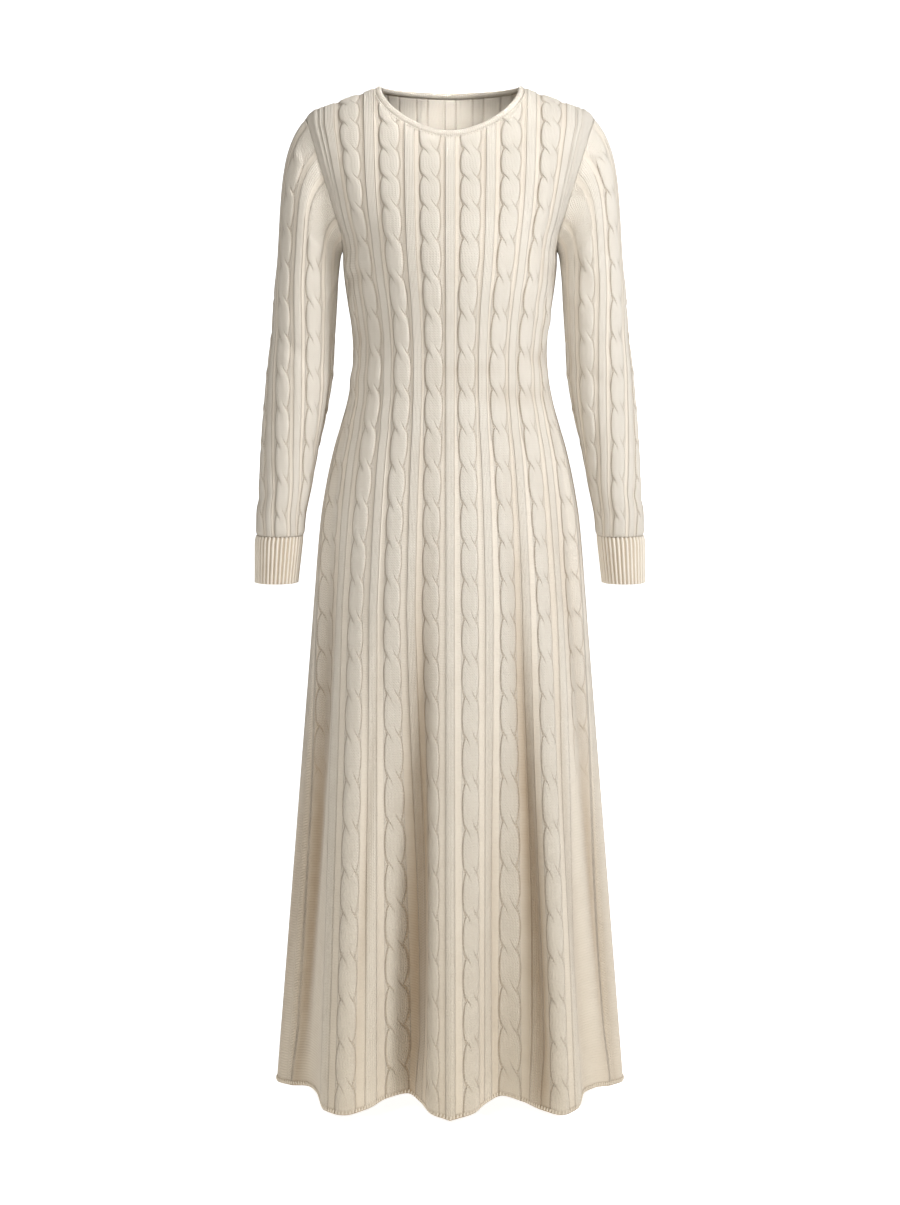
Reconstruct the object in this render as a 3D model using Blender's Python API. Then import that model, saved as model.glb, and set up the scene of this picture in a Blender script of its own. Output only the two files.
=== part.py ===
"""Cable knit sweater dress: a long fitted dress with set-in sleeves, ribbed cuffs and a round neck.

Every piece is a knitted wall with a plain inside and raised cables and ribs outside. The frame's
origin is on the shoulder line midway between the neck points, with +X to the wearer's left as
seen from the front, -Y to the front and +Z up. Run it in Blender to get one object a piece.

A wale is a number that runs round the body: 0 at the centre front, 4 and -4 at the side seams and
8 at the centre back. Ribs stand on whole wales and cables between them. A link is one turn of a
cable, counted up from the underarm level.
"""

import math

import bmesh
import bpy
import numpy as np

# Cloth
WALL = 0.0018  # knitted wall between the raised stitches
CABLE_RISE = 0.0028
PINCH_RISE = 0.0009  # where the two strands of a cable cross
RIB_RISE = 0.0013
SEAM_GAP = 0.0003

# Neck and shoulders
NECK_HALF_WIDTH = 0.0885
FRONT_NECK_DROP = 0.0610
BACK_NECK_DROP = 0.0040
NECK_ROUNDNESS = 1.7
NECKBAND_HEIGHT = 0.0066
SHOULDER_ROUNDING = 0.050  # depth of the rounded top of the shoulders
SHOULDERS = (  # distance from the centre and height of the shoulder line, carried on over the neck
    (0.0000, 0.0330),
    (0.0885, 0.0000),
    (0.1000, -0.0050),
    (0.1310, -0.0168),
    (0.1540, -0.0240),
    (0.1740, -0.0308),
    (0.1800, -0.0352),
    (0.1840, -0.0410),
)

# Armholes
ARMHOLE_TOP = -0.0410
ARMHOLE_BOTTOM = -0.2090
ARMHOLE_HALF_DEPTH = 0.0530
ARMHOLE_CORNER = -0.1820  # below this the edge turns under the arm
ARMHOLE_WALE = 3.62
EDGES = (  # height and half width along the armhole edge
    (-0.2090, 0.1373),
    (-0.1915, 0.1372),
    (-0.1820, 0.1392),
    (-0.1650, 0.1448),
    (-0.1460, 0.1502),
    (-0.1190, 0.1587),
    (-0.0900, 0.1677),
    (-0.0650, 0.1754),
    (-0.0410, 0.1840),
)

# Body sections, hip to neck: height, half width, depth in front, depth behind, width of a wale
SECTIONS = (
    (-0.6590, 0.1767, 0.1180, 0.1220, 0.0500),
    (-0.5550, 0.1677, 0.1120, 0.1210, 0.0475),
    (-0.5080, 0.1603, 0.1070, 0.1160, 0.0460),
    (-0.4610, 0.1499, 0.1020, 0.1080, 0.0442),
    (-0.4300, 0.1408, 0.0990, 0.1010, 0.0424),
    (-0.3990, 0.1322, 0.0970, 0.0940, 0.0415),
    (-0.3680, 0.1268, 0.0960, 0.0890, 0.0410),
    (-0.3380, 0.1247, 0.0980, 0.0880, 0.0411),
    (-0.3070, 0.1266, 0.1030, 0.0900, 0.0421),
    (-0.2760, 0.1313, 0.1100, 0.0930, 0.0436),
    (-0.2450, 0.1355, 0.1160, 0.0960, 0.0462),
    (-0.2250, 0.1372, 0.1185, 0.0980, 0.0476),
    (-0.2090, 0.1373, 0.1190, 0.0995, 0.0487),
    (-0.1500, 0.0000, 0.1110, 0.1010, 0.0502),
    (-0.0900, 0.0000, 0.0920, 0.0950, 0.0510),
    (-0.0400, 0.0000, 0.0750, 0.0800, 0.0515),
    (0.0000, 0.0000, 0.0620, 0.0670, 0.0520),
)
FITTED_WALE = 2.5  # wales up to this one keep the table's width, and the rest share what is left

# Skirt: straight wales from the hip section to the folds of the hem
HIP = -0.6590
HEM = -1.2970
FOLDS = (  # wale, across, forward and height above the hem of each crest, valley and flank
    (0.00, 0.000, 0.158, -0.009),
    (0.50, 0.029, 0.147, -0.003),
    (1.00, 0.048, 0.116, 0.003),
    (1.35, 0.067, 0.099, 0.007),
    (1.75, 0.093, 0.112, 0.003),
    (2.10, 0.116, 0.139, 0.000),
    (2.50, 0.141, 0.156, -0.002),
    (3.00, 0.164, 0.128, -0.001),
    (3.20, 0.173, 0.089, 0.008),
    (3.38, 0.187, 0.066, 0.008),
    (3.62, 0.210, 0.040, 0.004),
    (4.00, 0.229, 0.000, 0.001),
    (4.30, 0.214, -0.040, 0.004),
    (4.56, 0.187, -0.066, 0.006),
    (4.82, 0.172, -0.100, 0.002),
    (5.40, 0.145, -0.146, -0.002),
    (5.87, 0.112, -0.142, -0.001),
    (6.44, 0.083, -0.112, 0.004),
    (6.78, 0.062, -0.101, 0.006),
    (7.20, 0.042, -0.124, 0.001),
    (7.62, 0.023, -0.150, -0.003),
    (8.00, 0.000, -0.159, -0.005),
    (8.42, -0.027, -0.148, -0.002),
    (8.88, -0.046, -0.121, 0.003),
    (9.30, -0.069, -0.103, 0.006),
    (9.72, -0.093, -0.120, 0.002),
    (10.29, -0.122, -0.148, -0.002),
    (10.75, -0.153, -0.140, -0.001),
    (11.21, -0.176, -0.098, 0.003),
    (11.44, -0.192, -0.070, 0.006),
    (11.71, -0.216, -0.040, 0.003),
    (12.00, -0.229, 0.000, 0.001),
    (12.38, -0.208, 0.041, 0.005),
    (12.65, -0.182, 0.067, 0.010),
    (12.80, -0.171, 0.094, 0.008),
    (13.00, -0.161, 0.136, -0.001),
    (13.50, -0.134, 0.157, -0.002),
    (13.95, -0.105, 0.139, 0.001),
    (14.30, -0.081, 0.111, 0.007),
    (14.68, -0.055, 0.098, 0.010),
    (15.00, -0.039, 0.114, 0.004),
    (15.50, -0.024, 0.147, -0.003),
    (16.00, 0.000, 0.158, -0.009),
)
WALES_ROUND = 16

# Cables: height and length of a link there
UNDERARM_LEVEL = -0.2421
EDGE_START = -0.2620  # from here up the wale of the armhole bends to its edge
LINKS = (
    (-1.2970, 0.0537),
    (-0.9800, 0.0540),
    (-0.9050, 0.0592),
    (-0.8500, 0.0570),
    (-0.7900, 0.0497),
    (-0.6200, 0.0483),
    (-0.4500, 0.0472),
    (-0.3300, 0.0490),
    (-0.2640, 0.0450),
    (-0.2187, 0.0468),
    (-0.1740, 0.0420),
    (-0.1350, 0.0361),
    (0.0000, 0.0361),
)
CABLE_HALF = 0.25  # in wales
RIB_HALF = 0.12
SIDE_CABLE = 3.44
SIDE_CABLE_ROOM = 0.85  # share of the way to the armhole's wale that it may take
SIDE_WALES = (3.12, 3.25, 3.44, 3.62, 3.80, 4.00)
SIDE_CABLE_TOP = -0.3  # links above the underarm level at which the side cables end
SKIRT_LINING_STEP = 8  # half links between two rows of the inside
BODY_LINING_STEP = 2
SLEEVE_LINING_STEP = 2
LINING_FULL_ABOVE = 4.2  # links above which the inside has all the rows
LEAST_ROW = 0.15  # links
NEAR_WALE = 0.05  # a column this near to a rib carries it
SAME_WALE = 0.01
SAME_HEIGHT = 0.001
NORMAL_STEP = 0.0008

# Right sleeve: outer line across and up, inner line across and up, half depth, centre forward
SLEEVE_RINGS = (
    (0.1840, -0.0410, 0.1373, -0.2090, 0.0530, 0.0000),
    (0.1985, -0.0640, 0.1389, -0.2125, 0.0535, 0.0000),
    (0.2085, -0.0930, 0.1403, -0.2170, 0.0540, 0.0000),
    (0.2140, -0.1280, 0.1413, -0.2235, 0.0535, 0.0000),
    (0.2172, -0.1680, 0.1422, -0.2330, 0.0525, 0.0000),
    (0.2200, -0.2150, 0.1434, -0.2500, 0.0510, 0.0010),
    (0.2245, -0.2620, 0.1450, -0.2800, 0.0500, 0.0020),
    (0.2276, -0.3120, 0.1488, -0.3220, 0.0485, 0.0030),
    (0.2335, -0.3630, 0.1528, -0.3680, 0.0465, 0.0050),
    (0.2380, -0.4120, 0.1605, -0.4140, 0.0440, 0.0070),
    (0.2420, -0.4600, 0.1708, -0.4610, 0.0420, 0.0090),
    (0.2453, -0.5080, 0.1790, -0.5080, 0.0395, 0.0110),
    (0.2488, -0.5480, 0.1872, -0.5480, 0.0365, 0.0120),
    (0.2492, -0.5730, 0.1895, -0.5730, 0.0335, 0.0130),
)
ARMHOLE_FADE = 3.0  # rings over which the armhole's own curve fades
SLEEVE_START = 0.40  # the first full ring, just past the armhole
SLEEVE_TURN = (  # ring, and degrees from the outer line to the first cable in front
    (0.0, 44.0),
    (5.0, 44.0),
    (7.0, 53.0),
    (8.7, 65.0),
    (10.0, 77.0),
    (11.4, 90.0),
    (13.0, 96.0),
)
SLEEVE_WALES = 6
SLEEVE_LINK = 0.0455
BODY_SIDE = (0.5, 0.9)  # cosine of the turn from the inner line where the cables start and end to fade
BODY_SIDE_RINGS = (6.0, 8.0)  # rings between which that fade ends
CABLE_START_RING = 2.0  # below this ring the cables have their full height

# Cuff: height, outer line, inner line, half depth, centre forward
CUFF_RINGS = (
    (-0.5733, 0.2490, 0.1908, 0.0325, 0.0130),
    (-0.5800, 0.2508, 0.1912, 0.0330, 0.0130),
    (-0.6345, 0.2512, 0.1975, 0.0295, 0.0140),
)
CUFF_WALL = 0.0022
CUFF_RIBS = 34
CUFF_RIB_RISE = 0.0010

BAND_PROFILE = (  # neckband: share of its height, and how far out of the face
    (0.00, 0.0003),
    (0.50, 0.0012),
    (1.00, 0.0000),
    (1.00, -0.0024),
    (0.00, -0.0024),
)

CREAM = (0.800, 0.733, 0.620, 1.0)
CUFF_CREAM = (0.775, 0.708, 0.597, 1.0)


def smooth(at, xs, ys):
    """The curve through the points (xs, ys) that never overshoots them, held level past its ends."""
    xs = np.asarray(xs, float)
    ys = np.asarray(ys, float)
    width = np.diff(xs)
    rate = np.diff(ys) / width
    slope = np.zeros(len(xs))
    same = rate[:-1] * rate[1:] > 0
    mean = 2 * rate[:-1] * rate[1:] / np.where(same, rate[:-1] + rate[1:], 1)
    slope[1:-1] = np.where(same, mean, 0)
    slope[0] = rate[0]
    slope[-1] = rate[-1]
    at = np.clip(at, xs[0], xs[-1])
    k = np.clip(np.searchsorted(xs, at, side="right") - 1, 0, len(width) - 1)
    t = (at - xs[k]) / width[k]
    rise = (3 - 2 * t) * t * t
    return (
        ys[k]
        + (ys[k + 1] - ys[k]) * rise
        + width[k] * t * (1 - t) * ((1 - t) * slope[k] - t * slope[k + 1])
    )


def columns_of(table):
    return [np.array(column) for column in zip(*table)]


SECTION_Z, SECTION_WIDTH, SECTION_FRONT, SECTION_BACK, SECTION_WALE = columns_of(SECTIONS)
EDGE_Z, EDGE_WIDTH = columns_of(EDGES)
SHOULDER_ACROSS, SHOULDER_Z = columns_of(SHOULDERS)
FOLD_WALE, FOLD_ACROSS, FOLD_FORWARD, FOLD_RISE = columns_of(FOLDS)
FULL = SECTION_WIDTH > 0
ARMHOLE_MIDDLE = (ARMHOLE_TOP + ARMHOLE_BOTTOM) / 2
ARMHOLE_REACH = (ARMHOLE_TOP - ARMHOLE_BOTTOM) / 2


def side_of(wale):
    """How far a wale is from the centre of its own panel, and whether that is the back."""
    wale = (np.asarray(wale, float) + 8) % WALES_ROUND - 8
    back = np.abs(wale) > 4
    return np.where(back, 8 - np.abs(wale), np.abs(wale)), back, np.sign(wale)


def ridge_height(across):
    """Height of the shoulder line at a distance from the centre."""
    return smooth(np.abs(across), SHOULDER_ACROSS, SHOULDER_Z)


def rounding(across, height):
    """The square of the share of the full depth: 0 on the shoulder line, 1 well below it."""
    below = np.clip((ridge_height(across) - height) / SHOULDER_ROUNDING, 0, 1)
    return 1 - (1 - below) ** 2


def depth_at(height, back):
    return smooth(height, SECTION_Z, SECTION_BACK if back else SECTION_FRONT)


def armhole_depth(height):
    share = np.clip((height - ARMHOLE_MIDDLE) / ARMHOLE_REACH, -1, 1)
    return ARMHOLE_HALF_DEPTH * np.sqrt(1 - share**2)


def half_width(height, back):
    """Half width of the ellipse at a height: over the underarm it passes the armhole edge."""
    below = smooth(np.minimum(height, ARMHOLE_BOTTOM), SECTION_Z[FULL], SECTION_WIDTH[FULL])
    above = np.clip(height, ARMHOLE_BOTTOM, EDGE_Z[-2])
    edge = smooth(above, EDGE_Z, EDGE_WIDTH)
    full = depth_at(above, back) * np.sqrt(rounding(edge, above))
    over = edge / np.sqrt(1 - (armhole_depth(above) / full) ** 2)
    return np.where(height <= ARMHOLE_BOTTOM, below, over)


def wale_angles(back):
    """Table of each wale's angle on the ellipse, from the centre to the side, at many heights."""
    heights = np.linspace(HIP, 0, 133)
    fine = np.linspace(0, 4, 81)
    angle = np.linspace(0, math.pi / 2, 91)
    found = []
    for height in heights:
        wide = float(half_width(height, back))
        deep = float(depth_at(height, back))
        step = np.hypot(np.diff(wide * np.sin(angle)), np.diff(deep * np.cos(angle)))
        arc = np.concatenate([[0], np.cumsum(step)])
        wale = float(smooth(height, SECTION_Z, SECTION_WALE))
        fitted = FITTED_WALE * wale
        share = (ARMHOLE_WALE - FITTED_WALE) / (4 - FITTED_WALE)
        plain = fitted + share * (arc[-1] - fitted)
        at = max(height, ARMHOLE_CORNER)
        seam = math.asin(float(smooth(at, EDGE_Z, EDGE_WIDTH)) / float(half_width(at, back)))
        turn = np.interp(height, [EDGE_START, ARMHOLE_CORNER], [0, 1])
        edge = plain + (np.interp(seam, angle, arc) - plain) * turn
        side = fitted + min(wale, (edge - fitted) * SIDE_CABLE_ROOM)
        marks = [0, FITTED_WALE, SIDE_CABLE, ARMHOLE_WALE, 4]
        lengths = np.interp(fine, marks, [0, fitted, side, edge, arc[-1]])
        found.append(np.interp(lengths, arc, angle))
    return heights, fine, np.array(found)


ANGLES = {False: wale_angles(False), True: wale_angles(True)}


def wale_angle(side, height, back):
    heights, fine, angles = ANGLES[back]
    row = np.clip((height - heights[0]) / (heights[1] - heights[0]), 0, len(heights) - 1.001)
    column = np.clip(side / fine[1], 0, len(fine) - 1.001)
    i, j = row.astype(int), column.astype(int)
    u, v = row - i, column - j
    low = angles[i, j] * (1 - v) + angles[i, j + 1] * v
    high = angles[i + 1, j] * (1 - v) + angles[i + 1, j + 1] * v
    return low * (1 - u) + high * u


def face_depth(across, height, back):
    """Distance of the plain face from the shoulder line's plane."""
    share = 1 - (across / half_width(height, back)) ** 2
    return depth_at(height, back) * np.sqrt(np.maximum(share, 0) * rounding(across, height))


def body_points(wale, height):
    """Points of the plain outer face between the hip and the shoulder line."""
    wale, height = np.broadcast_arrays(np.asarray(wale, float), np.asarray(height, float))
    side, behind, sign = side_of(wale)
    points = np.zeros(wale.shape + (3,))
    for back in (False, True):
        angle = wale_angle(side, height, back)
        x = sign * half_width(height, back) * np.sin(angle)
        y = depth_at(height, back) * np.cos(angle) * np.sqrt(rounding(x, height))
        here = np.stack([x, y if back else -y, height], -1)
        points = np.where((behind == back)[..., None], here, points)
    return points


def skirt_points(wale, height):
    """Points on the straight line from the hip to the hem that each wale follows."""
    at = np.asarray(wale, float) % WALES_ROUND
    across, forward, rise = (smooth(at, FOLD_WALE, c) for c in (FOLD_ACROSS, FOLD_FORWARD, FOLD_RISE))
    hem = np.stack([across, -forward, HEM + rise], -1)
    hip = body_points(wale, np.full(np.shape(at), HIP))
    down = ((HIP - np.asarray(height, float)) / (HIP - HEM))[..., None]
    return hip * (1 - down) + hem * down


def face_points(wale, height):
    low = np.asarray(height)[..., None] < HIP
    return np.where(low, skirt_points(wale, height), body_points(wale, np.maximum(height, HIP)))


def unit(vectors):
    return vectors / np.linalg.norm(vectors, axis=-1, keepdims=True)


def body_normals(points):
    """Directions out of the plain face, from the slopes of the equation that it solves."""
    x, y, z = np.moveaxis(points, -1, 0)
    step = NORMAL_STEP
    low = np.minimum(z, ridge_height(x) - step)
    normals = []
    for back in (False, True):

        def inside(across, height):
            share = 1 - (across / half_width(height, back)) ** 2
            return share * rounding(across, height) - (y / depth_at(height, back)) ** 2

        slope_x = (inside(x + step, low) - inside(x - step, low)) / (2 * step)
        slope_z = (inside(x, low) - inside(x, low - step)) / step
        slope_y = -2 * y / depth_at(z, back) ** 2
        normals.append(unit(-np.stack([slope_x, slope_y, slope_z], -1)))
    return np.where((y > 0)[..., None], normals[1], normals[0])


def skirt_normals(wale, height):
    step = 0.02
    along = skirt_points(wale + step, height) - skirt_points(wale - step, height)
    up = skirt_points(wale, height + step) - skirt_points(wale, height - step)
    return unit(np.cross(along, up))


def face_normals(wale, height, points):
    low = np.asarray(height)[..., None] < HIP + 1e-6
    return np.where(low, skirt_normals(wale, np.minimum(height, HIP)), body_normals(points))


def neck_height(across, back, below):
    """Height of the neck edge at a distance from the centre, a little below the band's top."""
    wide = NECK_HALF_WIDTH + below
    side = ridge_height(wide)
    drop = (BACK_NECK_DROP if back else FRONT_NECK_DROP) + below
    share = np.minimum(np.abs(across) / wide, 1)
    curve = (1 - share**NECK_ROUNDNESS) ** (1 / NECK_ROUNDNESS)
    return np.where(share < 1, side - (drop + side) * curve, 1.0)


def tops(wales):
    """Heights at which wales end: at the neck edge, the shoulder line or under the arm."""
    wales = np.asarray(wales, float)
    side, behind, _ = side_of(wales)
    low = np.full(wales.shape, UNDERARM_LEVEL)
    high = np.zeros(wales.shape)
    for _ in range(40):
        middle = (low + high) / 2
        x, y, _ = np.moveaxis(body_points(wales, middle), -1, 0)
        share = np.sqrt(np.maximum(0, 1 - (y / ARMHOLE_HALF_DEPTH) ** 2))
        neck = [neck_height(x, back, NECKBAND_HEIGHT + SEAM_GAP) for back in (False, True)]
        edge = np.minimum(ridge_height(x), np.where(behind, neck[1], neck[0]))
        edge = np.where(side > ARMHOLE_WALE, ARMHOLE_MIDDLE - share * ARMHOLE_REACH, edge)
        inside = middle < edge
        low, high = np.where(inside, middle, low), np.where(inside, high, middle)
    return np.where(np.abs(side - ARMHOLE_WALE) < 1e-6, ARMHOLE_TOP, low)


def links_along(heights, steps):
    """Links counted along a line from its heights and the lengths of the steps between them."""
    link_z, length = columns_of(LINKS)
    links = steps / np.interp((heights[:-1] + heights[1:]) / 2, link_z, length)
    return np.concatenate([[0], np.cumsum(links)])


def half_links():
    """Counts and heights of the half links from the hem up to the underarm level."""
    heights = np.linspace(UNDERARM_LEVEL, HEM, 1001)
    links = -links_along(heights, -np.diff(heights))
    counts = -0.5 * np.arange(math.ceil(-2 * links[-1]))
    counts = np.append(counts[counts > links[-1] + LEAST_ROW], links[-1])[::-1]
    return counts, np.interp(counts, links[::-1], heights[::-1])


def wale_rows(wale, top):
    """Counts of links and heights of the rows of a wale, from the hem to its top."""
    below, low = half_links()
    heights = top - (top - UNDERARM_LEVEL) * np.linspace(1, 0, 81) ** 2
    points = body_points(wale, heights)
    counts = links_along(heights, np.linalg.norm(np.diff(points, axis=0), axis=1))
    rows = np.arange(0.5, counts[-1] - LEAST_ROW, 0.5)
    if abs(side_of(wale)[0] - ARMHOLE_WALE) < 1e-6:
        corner = np.interp(ARMHOLE_CORNER, heights, counts)
        rows = np.sort(np.append(rows[np.abs(rows - corner) > LEAST_ROW], corner))
    rows = np.append(rows, counts[-1])
    return np.append(below, rows), np.append(low, np.interp(rows, counts, heights))


def raised(side, counts):
    """Height of the raised stitches over the plain face: cables pinched at each crossing, and ribs."""
    crossing = np.abs(counts * 2 % 2) < SAME_WALE
    crest = np.where(crossing, PINCH_RISE, CABLE_RISE)
    if side > SIDE_WALES[0] + SAME_WALE:
        high = crest * (abs(side - SIDE_CABLE) < SAME_WALE)
        return np.where(counts < SIDE_CABLE_TOP, high, 0)
    if abs(side % 1 - 0.5) < SAME_WALE:
        return crest
    from_rib = min(side % 1, 1 - side % 1)
    return np.full(counts.shape, RIB_RISE if from_rib < RIB_HALF + NEAR_WALE else 0)


def armhole_frame(sign):
    """Directions up the armhole's plane and out of it, towards the sleeve."""
    up = unit(np.array([sign * (EDGE_WIDTH[-1] - EDGE_WIDTH[0]), 0, ARMHOLE_TOP - ARMHOLE_BOTTOM]))
    return up, np.array([sign * up[2], 0, -sign * up[0]])


def armhole_outward(points, sign):
    """Direction away from the middle of the armhole at points of its edge."""
    up, _ = armhole_frame(sign)
    rise = (points[:, 2] - ARMHOLE_MIDDLE) / ARMHOLE_REACH
    return unit(rise[:, None] * up + points[:, 1:2] / ARMHOLE_HALF_DEPTH * np.array([0, 1, 0]))


class Cloth:
    """A closed wall built up from chains of points on its outer and inner faces."""

    def __init__(self):
        self.mesh = bmesh.new()

    def chain(self, counts, places):
        return [(float(c), self.mesh.verts.new(p)) for c, p in zip(counts, places.tolist())]

    def face(self, *corners):
        distinct = list(dict.fromkeys(corners))
        if len(distinct) > 2:
            self.mesh.faces.new(distinct)

    def strip(self, left, right):
        """Faces between two chains of (count, vertex), matched by their counts."""
        i = j = 0
        while i < len(left) - 1 or j < len(right) - 1:
            next_left = left[i + 1][0] if i < len(left) - 1 else math.inf
            next_right = right[j + 1][0] if j < len(right) - 1 else math.inf
            both = abs(next_left - next_right) < 1e-6
            ahead_i = i + 1 if both or next_left < next_right else i
            ahead_j = j + 1 if both or next_right < next_left else j
            self.face(left[i][1], right[j][1], right[ahead_j][1], left[ahead_i][1])
            i, j = ahead_i, ahead_j

    def rim(self, outer, inner):
        """Faces that close the wall round the borders of its two sides, matched by their keys."""
        place = {key: n for n, (key, _) in enumerate(outer)}
        rings = []
        for border in (outer, inner):
            ring = [(place[key], vertex) for key, vertex in border]
            rings.append(ring + [(len(outer), ring[0][1])])
        self.strip(*rings)

    def finish(self, name, colour, collection):
        bmesh.ops.recalc_face_normals(self.mesh, faces=self.mesh.faces[:])
        bmesh.ops.triangulate(self.mesh, faces=self.mesh.faces[:])
        data = bpy.data.meshes.new(name)
        self.mesh.to_mesh(data)
        self.mesh.free()
        data.shade_smooth()
        data.set_sharp_from_angle(angle=math.radians(40))
        data.materials.append(knit(name, colour))
        made = bpy.data.objects.new(name, data)
        collection.objects.link(made)
        return made


def knit(name, colour):
    material = bpy.data.materials.new(name + "_knit")
    material.use_nodes = True
    shader = material.node_tree.nodes["Principled BSDF"]
    shader.inputs["Base Color"].default_value = colour
    shader.inputs["Roughness"].default_value = 0.85
    shader.inputs["Metallic"].default_value = 0.0
    return material


def neck_wale(back):
    """The wale that meets the corner between the neck and the shoulder line."""
    wide = NECK_HALF_WIDTH + NECKBAND_HEIGHT + SEAM_GAP
    height = float(ridge_height(wide))
    wales = np.linspace(1, 3, 201)
    across = half_width(height, back) * np.sin(wale_angle(wales, np.full(201, height), back))
    return float(np.interp(wide, across, wales))


def panel_wales(back):
    """Wales of one panel's columns of points, from one side seam to the other."""
    half = []
    for rib in (0, 1, 2):
        half += [rib + RIB_HALF, rib + CABLE_HALF, rib + 0.5, rib + 1 - CABLE_HALF, rib + 1 - RIB_HALF]
    half[half.index(2 - RIB_HALF)] = neck_wale(back)
    half += SIDE_WALES
    return np.array([-w for w in half[::-1]] + half)


def lined(wale):
    """Whether the plain inside has points at this wale: it needs fewer than the raised face."""
    part = abs(wale) % 1
    beside_neck = abs(abs(wale) - 2 + CABLE_HALF) < SAME_WALE
    return beside_neck or min(abs(part - CABLE_HALF), abs(part - 1 + CABLE_HALF)) > SAME_WALE


def corner_place(chain):
    """Where the armhole's chain reaches the corner under the arm."""
    return [k for k, (_, vertex) in enumerate(chain) if vertex.co.z > ARMHOLE_CORNER - SAME_HEIGHT][0]


def border(chains, corners):
    """The points round a panel's face from the hem, each with its column and count."""
    names = sorted(chains)
    ends = [(k, 0) for k in names]
    ends += [(names[-1], n) for n in range(1, len(chains[names[-1]]))]
    for k in names[-2:0:-1]:
        last = len(chains[k]) - 1
        rising = range(corner_place(chains[k]) if k in corners else last, last + 1)
        ends += [(k, n) for n in (rising if k == corners[1] else reversed(rising))]
    ends += [(names[0], n) for n in reversed(range(1, len(chains[names[0]])))]
    return [((k, chains[k][n][0]), chains[k][n][1]) for k, n in ends]


def panel(name, back, collection):
    """A panel from hem to shoulder, with its cables and ribs raised on the outer face."""
    cloth = Cloth()
    wales = panel_wales(back)
    places = wales + (8 if back else 0)
    sense = 1 if back else -1
    outer, inner = {}, {}
    for k, (offset, wale, top) in enumerate(zip(wales, places, tops(places))):
        side = abs(offset)
        counts, heights = wale_rows(wale, top)
        points = face_points(wale, heights)
        normals = face_normals(wale, heights, points)
        edge = np.zeros(len(counts), bool)
        edge[-1] = side >= ARMHOLE_WALE
        if abs(side - ARMHOLE_WALE) < 1e-6:
            edge = heights > ARMHOLE_CORNER - 1e-6
        radial = armhole_outward(points, np.sign(points[0, 0]))
        seamed = side > 4 - SAME_WALE
        if seamed:
            inward = np.sign(-offset) * 0.02
            along = unit(face_points(wale + inward, heights) - face_points(wale - inward, heights))
            points = points + along * SEAM_GAP / 2
            radial[:, 1] = 0
        elif neck_wale(back) - 1e-3 < side <= ARMHOLE_WALE:
            points[-1, 1] = sense * SEAM_GAP / 2
        thick = np.where(edge[:, None], unit(radial), normals)
        rise = np.where(edge, 0, raised(side, counts))[:, None]
        outer[k] = cloth.chain(counts, points + rise * normals)
        if lined(side):
            step = np.where(heights < HIP, SKIRT_LINING_STEP, BODY_LINING_STEP)
            kept = edge | (np.abs(counts * 2 % step) < SAME_WALE) | (counts > LINING_FULL_ABOVE)
            kept[[0, -1]] = True
            kept |= seamed
            inner[k] = cloth.chain(counts[kept], (points - WALL * thick)[kept])
    corners = [k for k, wale in enumerate(wales) if abs(abs(wale) - ARMHOLE_WALE) < 1e-6]
    for chains in (outer, inner):
        names = sorted(chains)
        for k, following in zip(names, names[1:]):
            left, right = chains[k], chains[following]
            if following == corners[0]:
                right = right[: corner_place(right) + 1]
            if k == corners[1]:
                left = left[: corner_place(left) + 1]
            cloth.strip(left, right)
    cloth.rim(border(outer, corners), border(inner, corners))
    return cloth.finish(name, CREAM, collection)


def armhole_ring(sign):
    """Points of the armhole edge that both panels share, round from the shoulder, with their turn."""
    rings = []
    for back in (False, True):
        wales = np.array([w for w in SIDE_WALES if w >= ARMHOLE_WALE])
        places = sign * (8 - wales if back else wales)
        half = []
        for wale, top in zip(places, tops(places)):
            counts, heights = wale_rows(wale, top)
            if abs(side_of(wale)[0] - ARMHOLE_WALE) < 1e-6:
                heights = heights[heights > ARMHOLE_CORNER - 1e-6][::-1]
                half += body_points(wale, heights).tolist()
            else:
                half.append(body_points(wale, top).tolist())
        rings.append(half)
    front, behind = rings
    ring = np.array(front + behind[-2:0:-1])
    ring[0, 1] = 0
    rise = (ring[:, 2] - ARMHOLE_MIDDLE) / ARMHOLE_REACH
    turn = np.degrees(np.arctan2(-ring[:, 1] / ARMHOLE_HALF_DEPTH, rise)) % 360
    return turn, ring


def sleeve_points(turn, ring, sign):
    """Points of the sleeve's plain face: turn in degrees from its outer line, ring down from 0."""
    index = np.arange(len(SLEEVE_RINGS))
    out_x, out_z, in_x, in_z, deep, forward = (smooth(ring, index, c) for c in columns_of(SLEEVE_RINGS))
    angle = np.radians(turn)
    share = (1 + np.cos(angle)) / 2
    x = in_x + (out_x - in_x) * share
    z = in_z + (out_z - in_z) * share
    first = ARMHOLE_MIDDLE + ARMHOLE_REACH * np.cos(angle)
    chord = EDGE_WIDTH[0] + (EDGE_WIDTH[-1] - EDGE_WIDTH[0]) * share
    bulge = smooth(first, EDGE_Z, EDGE_WIDTH) - chord
    x = x + bulge * np.clip(1 - ring / ARMHOLE_FADE, 0, 1) ** 2
    return np.stack([sign * x, -forward - deep * np.sin(angle), z], -1)


def sleeve_normals(turn, ring, sign):
    ahead = sleeve_points(turn + 1, ring, sign) - sleeve_points(turn - 1, ring, sign)
    down = sleeve_points(turn, ring + 0.05, sign) - sleeve_points(turn, ring - 0.05, sign)
    return unit(np.cross(ahead, down)) * sign


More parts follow.
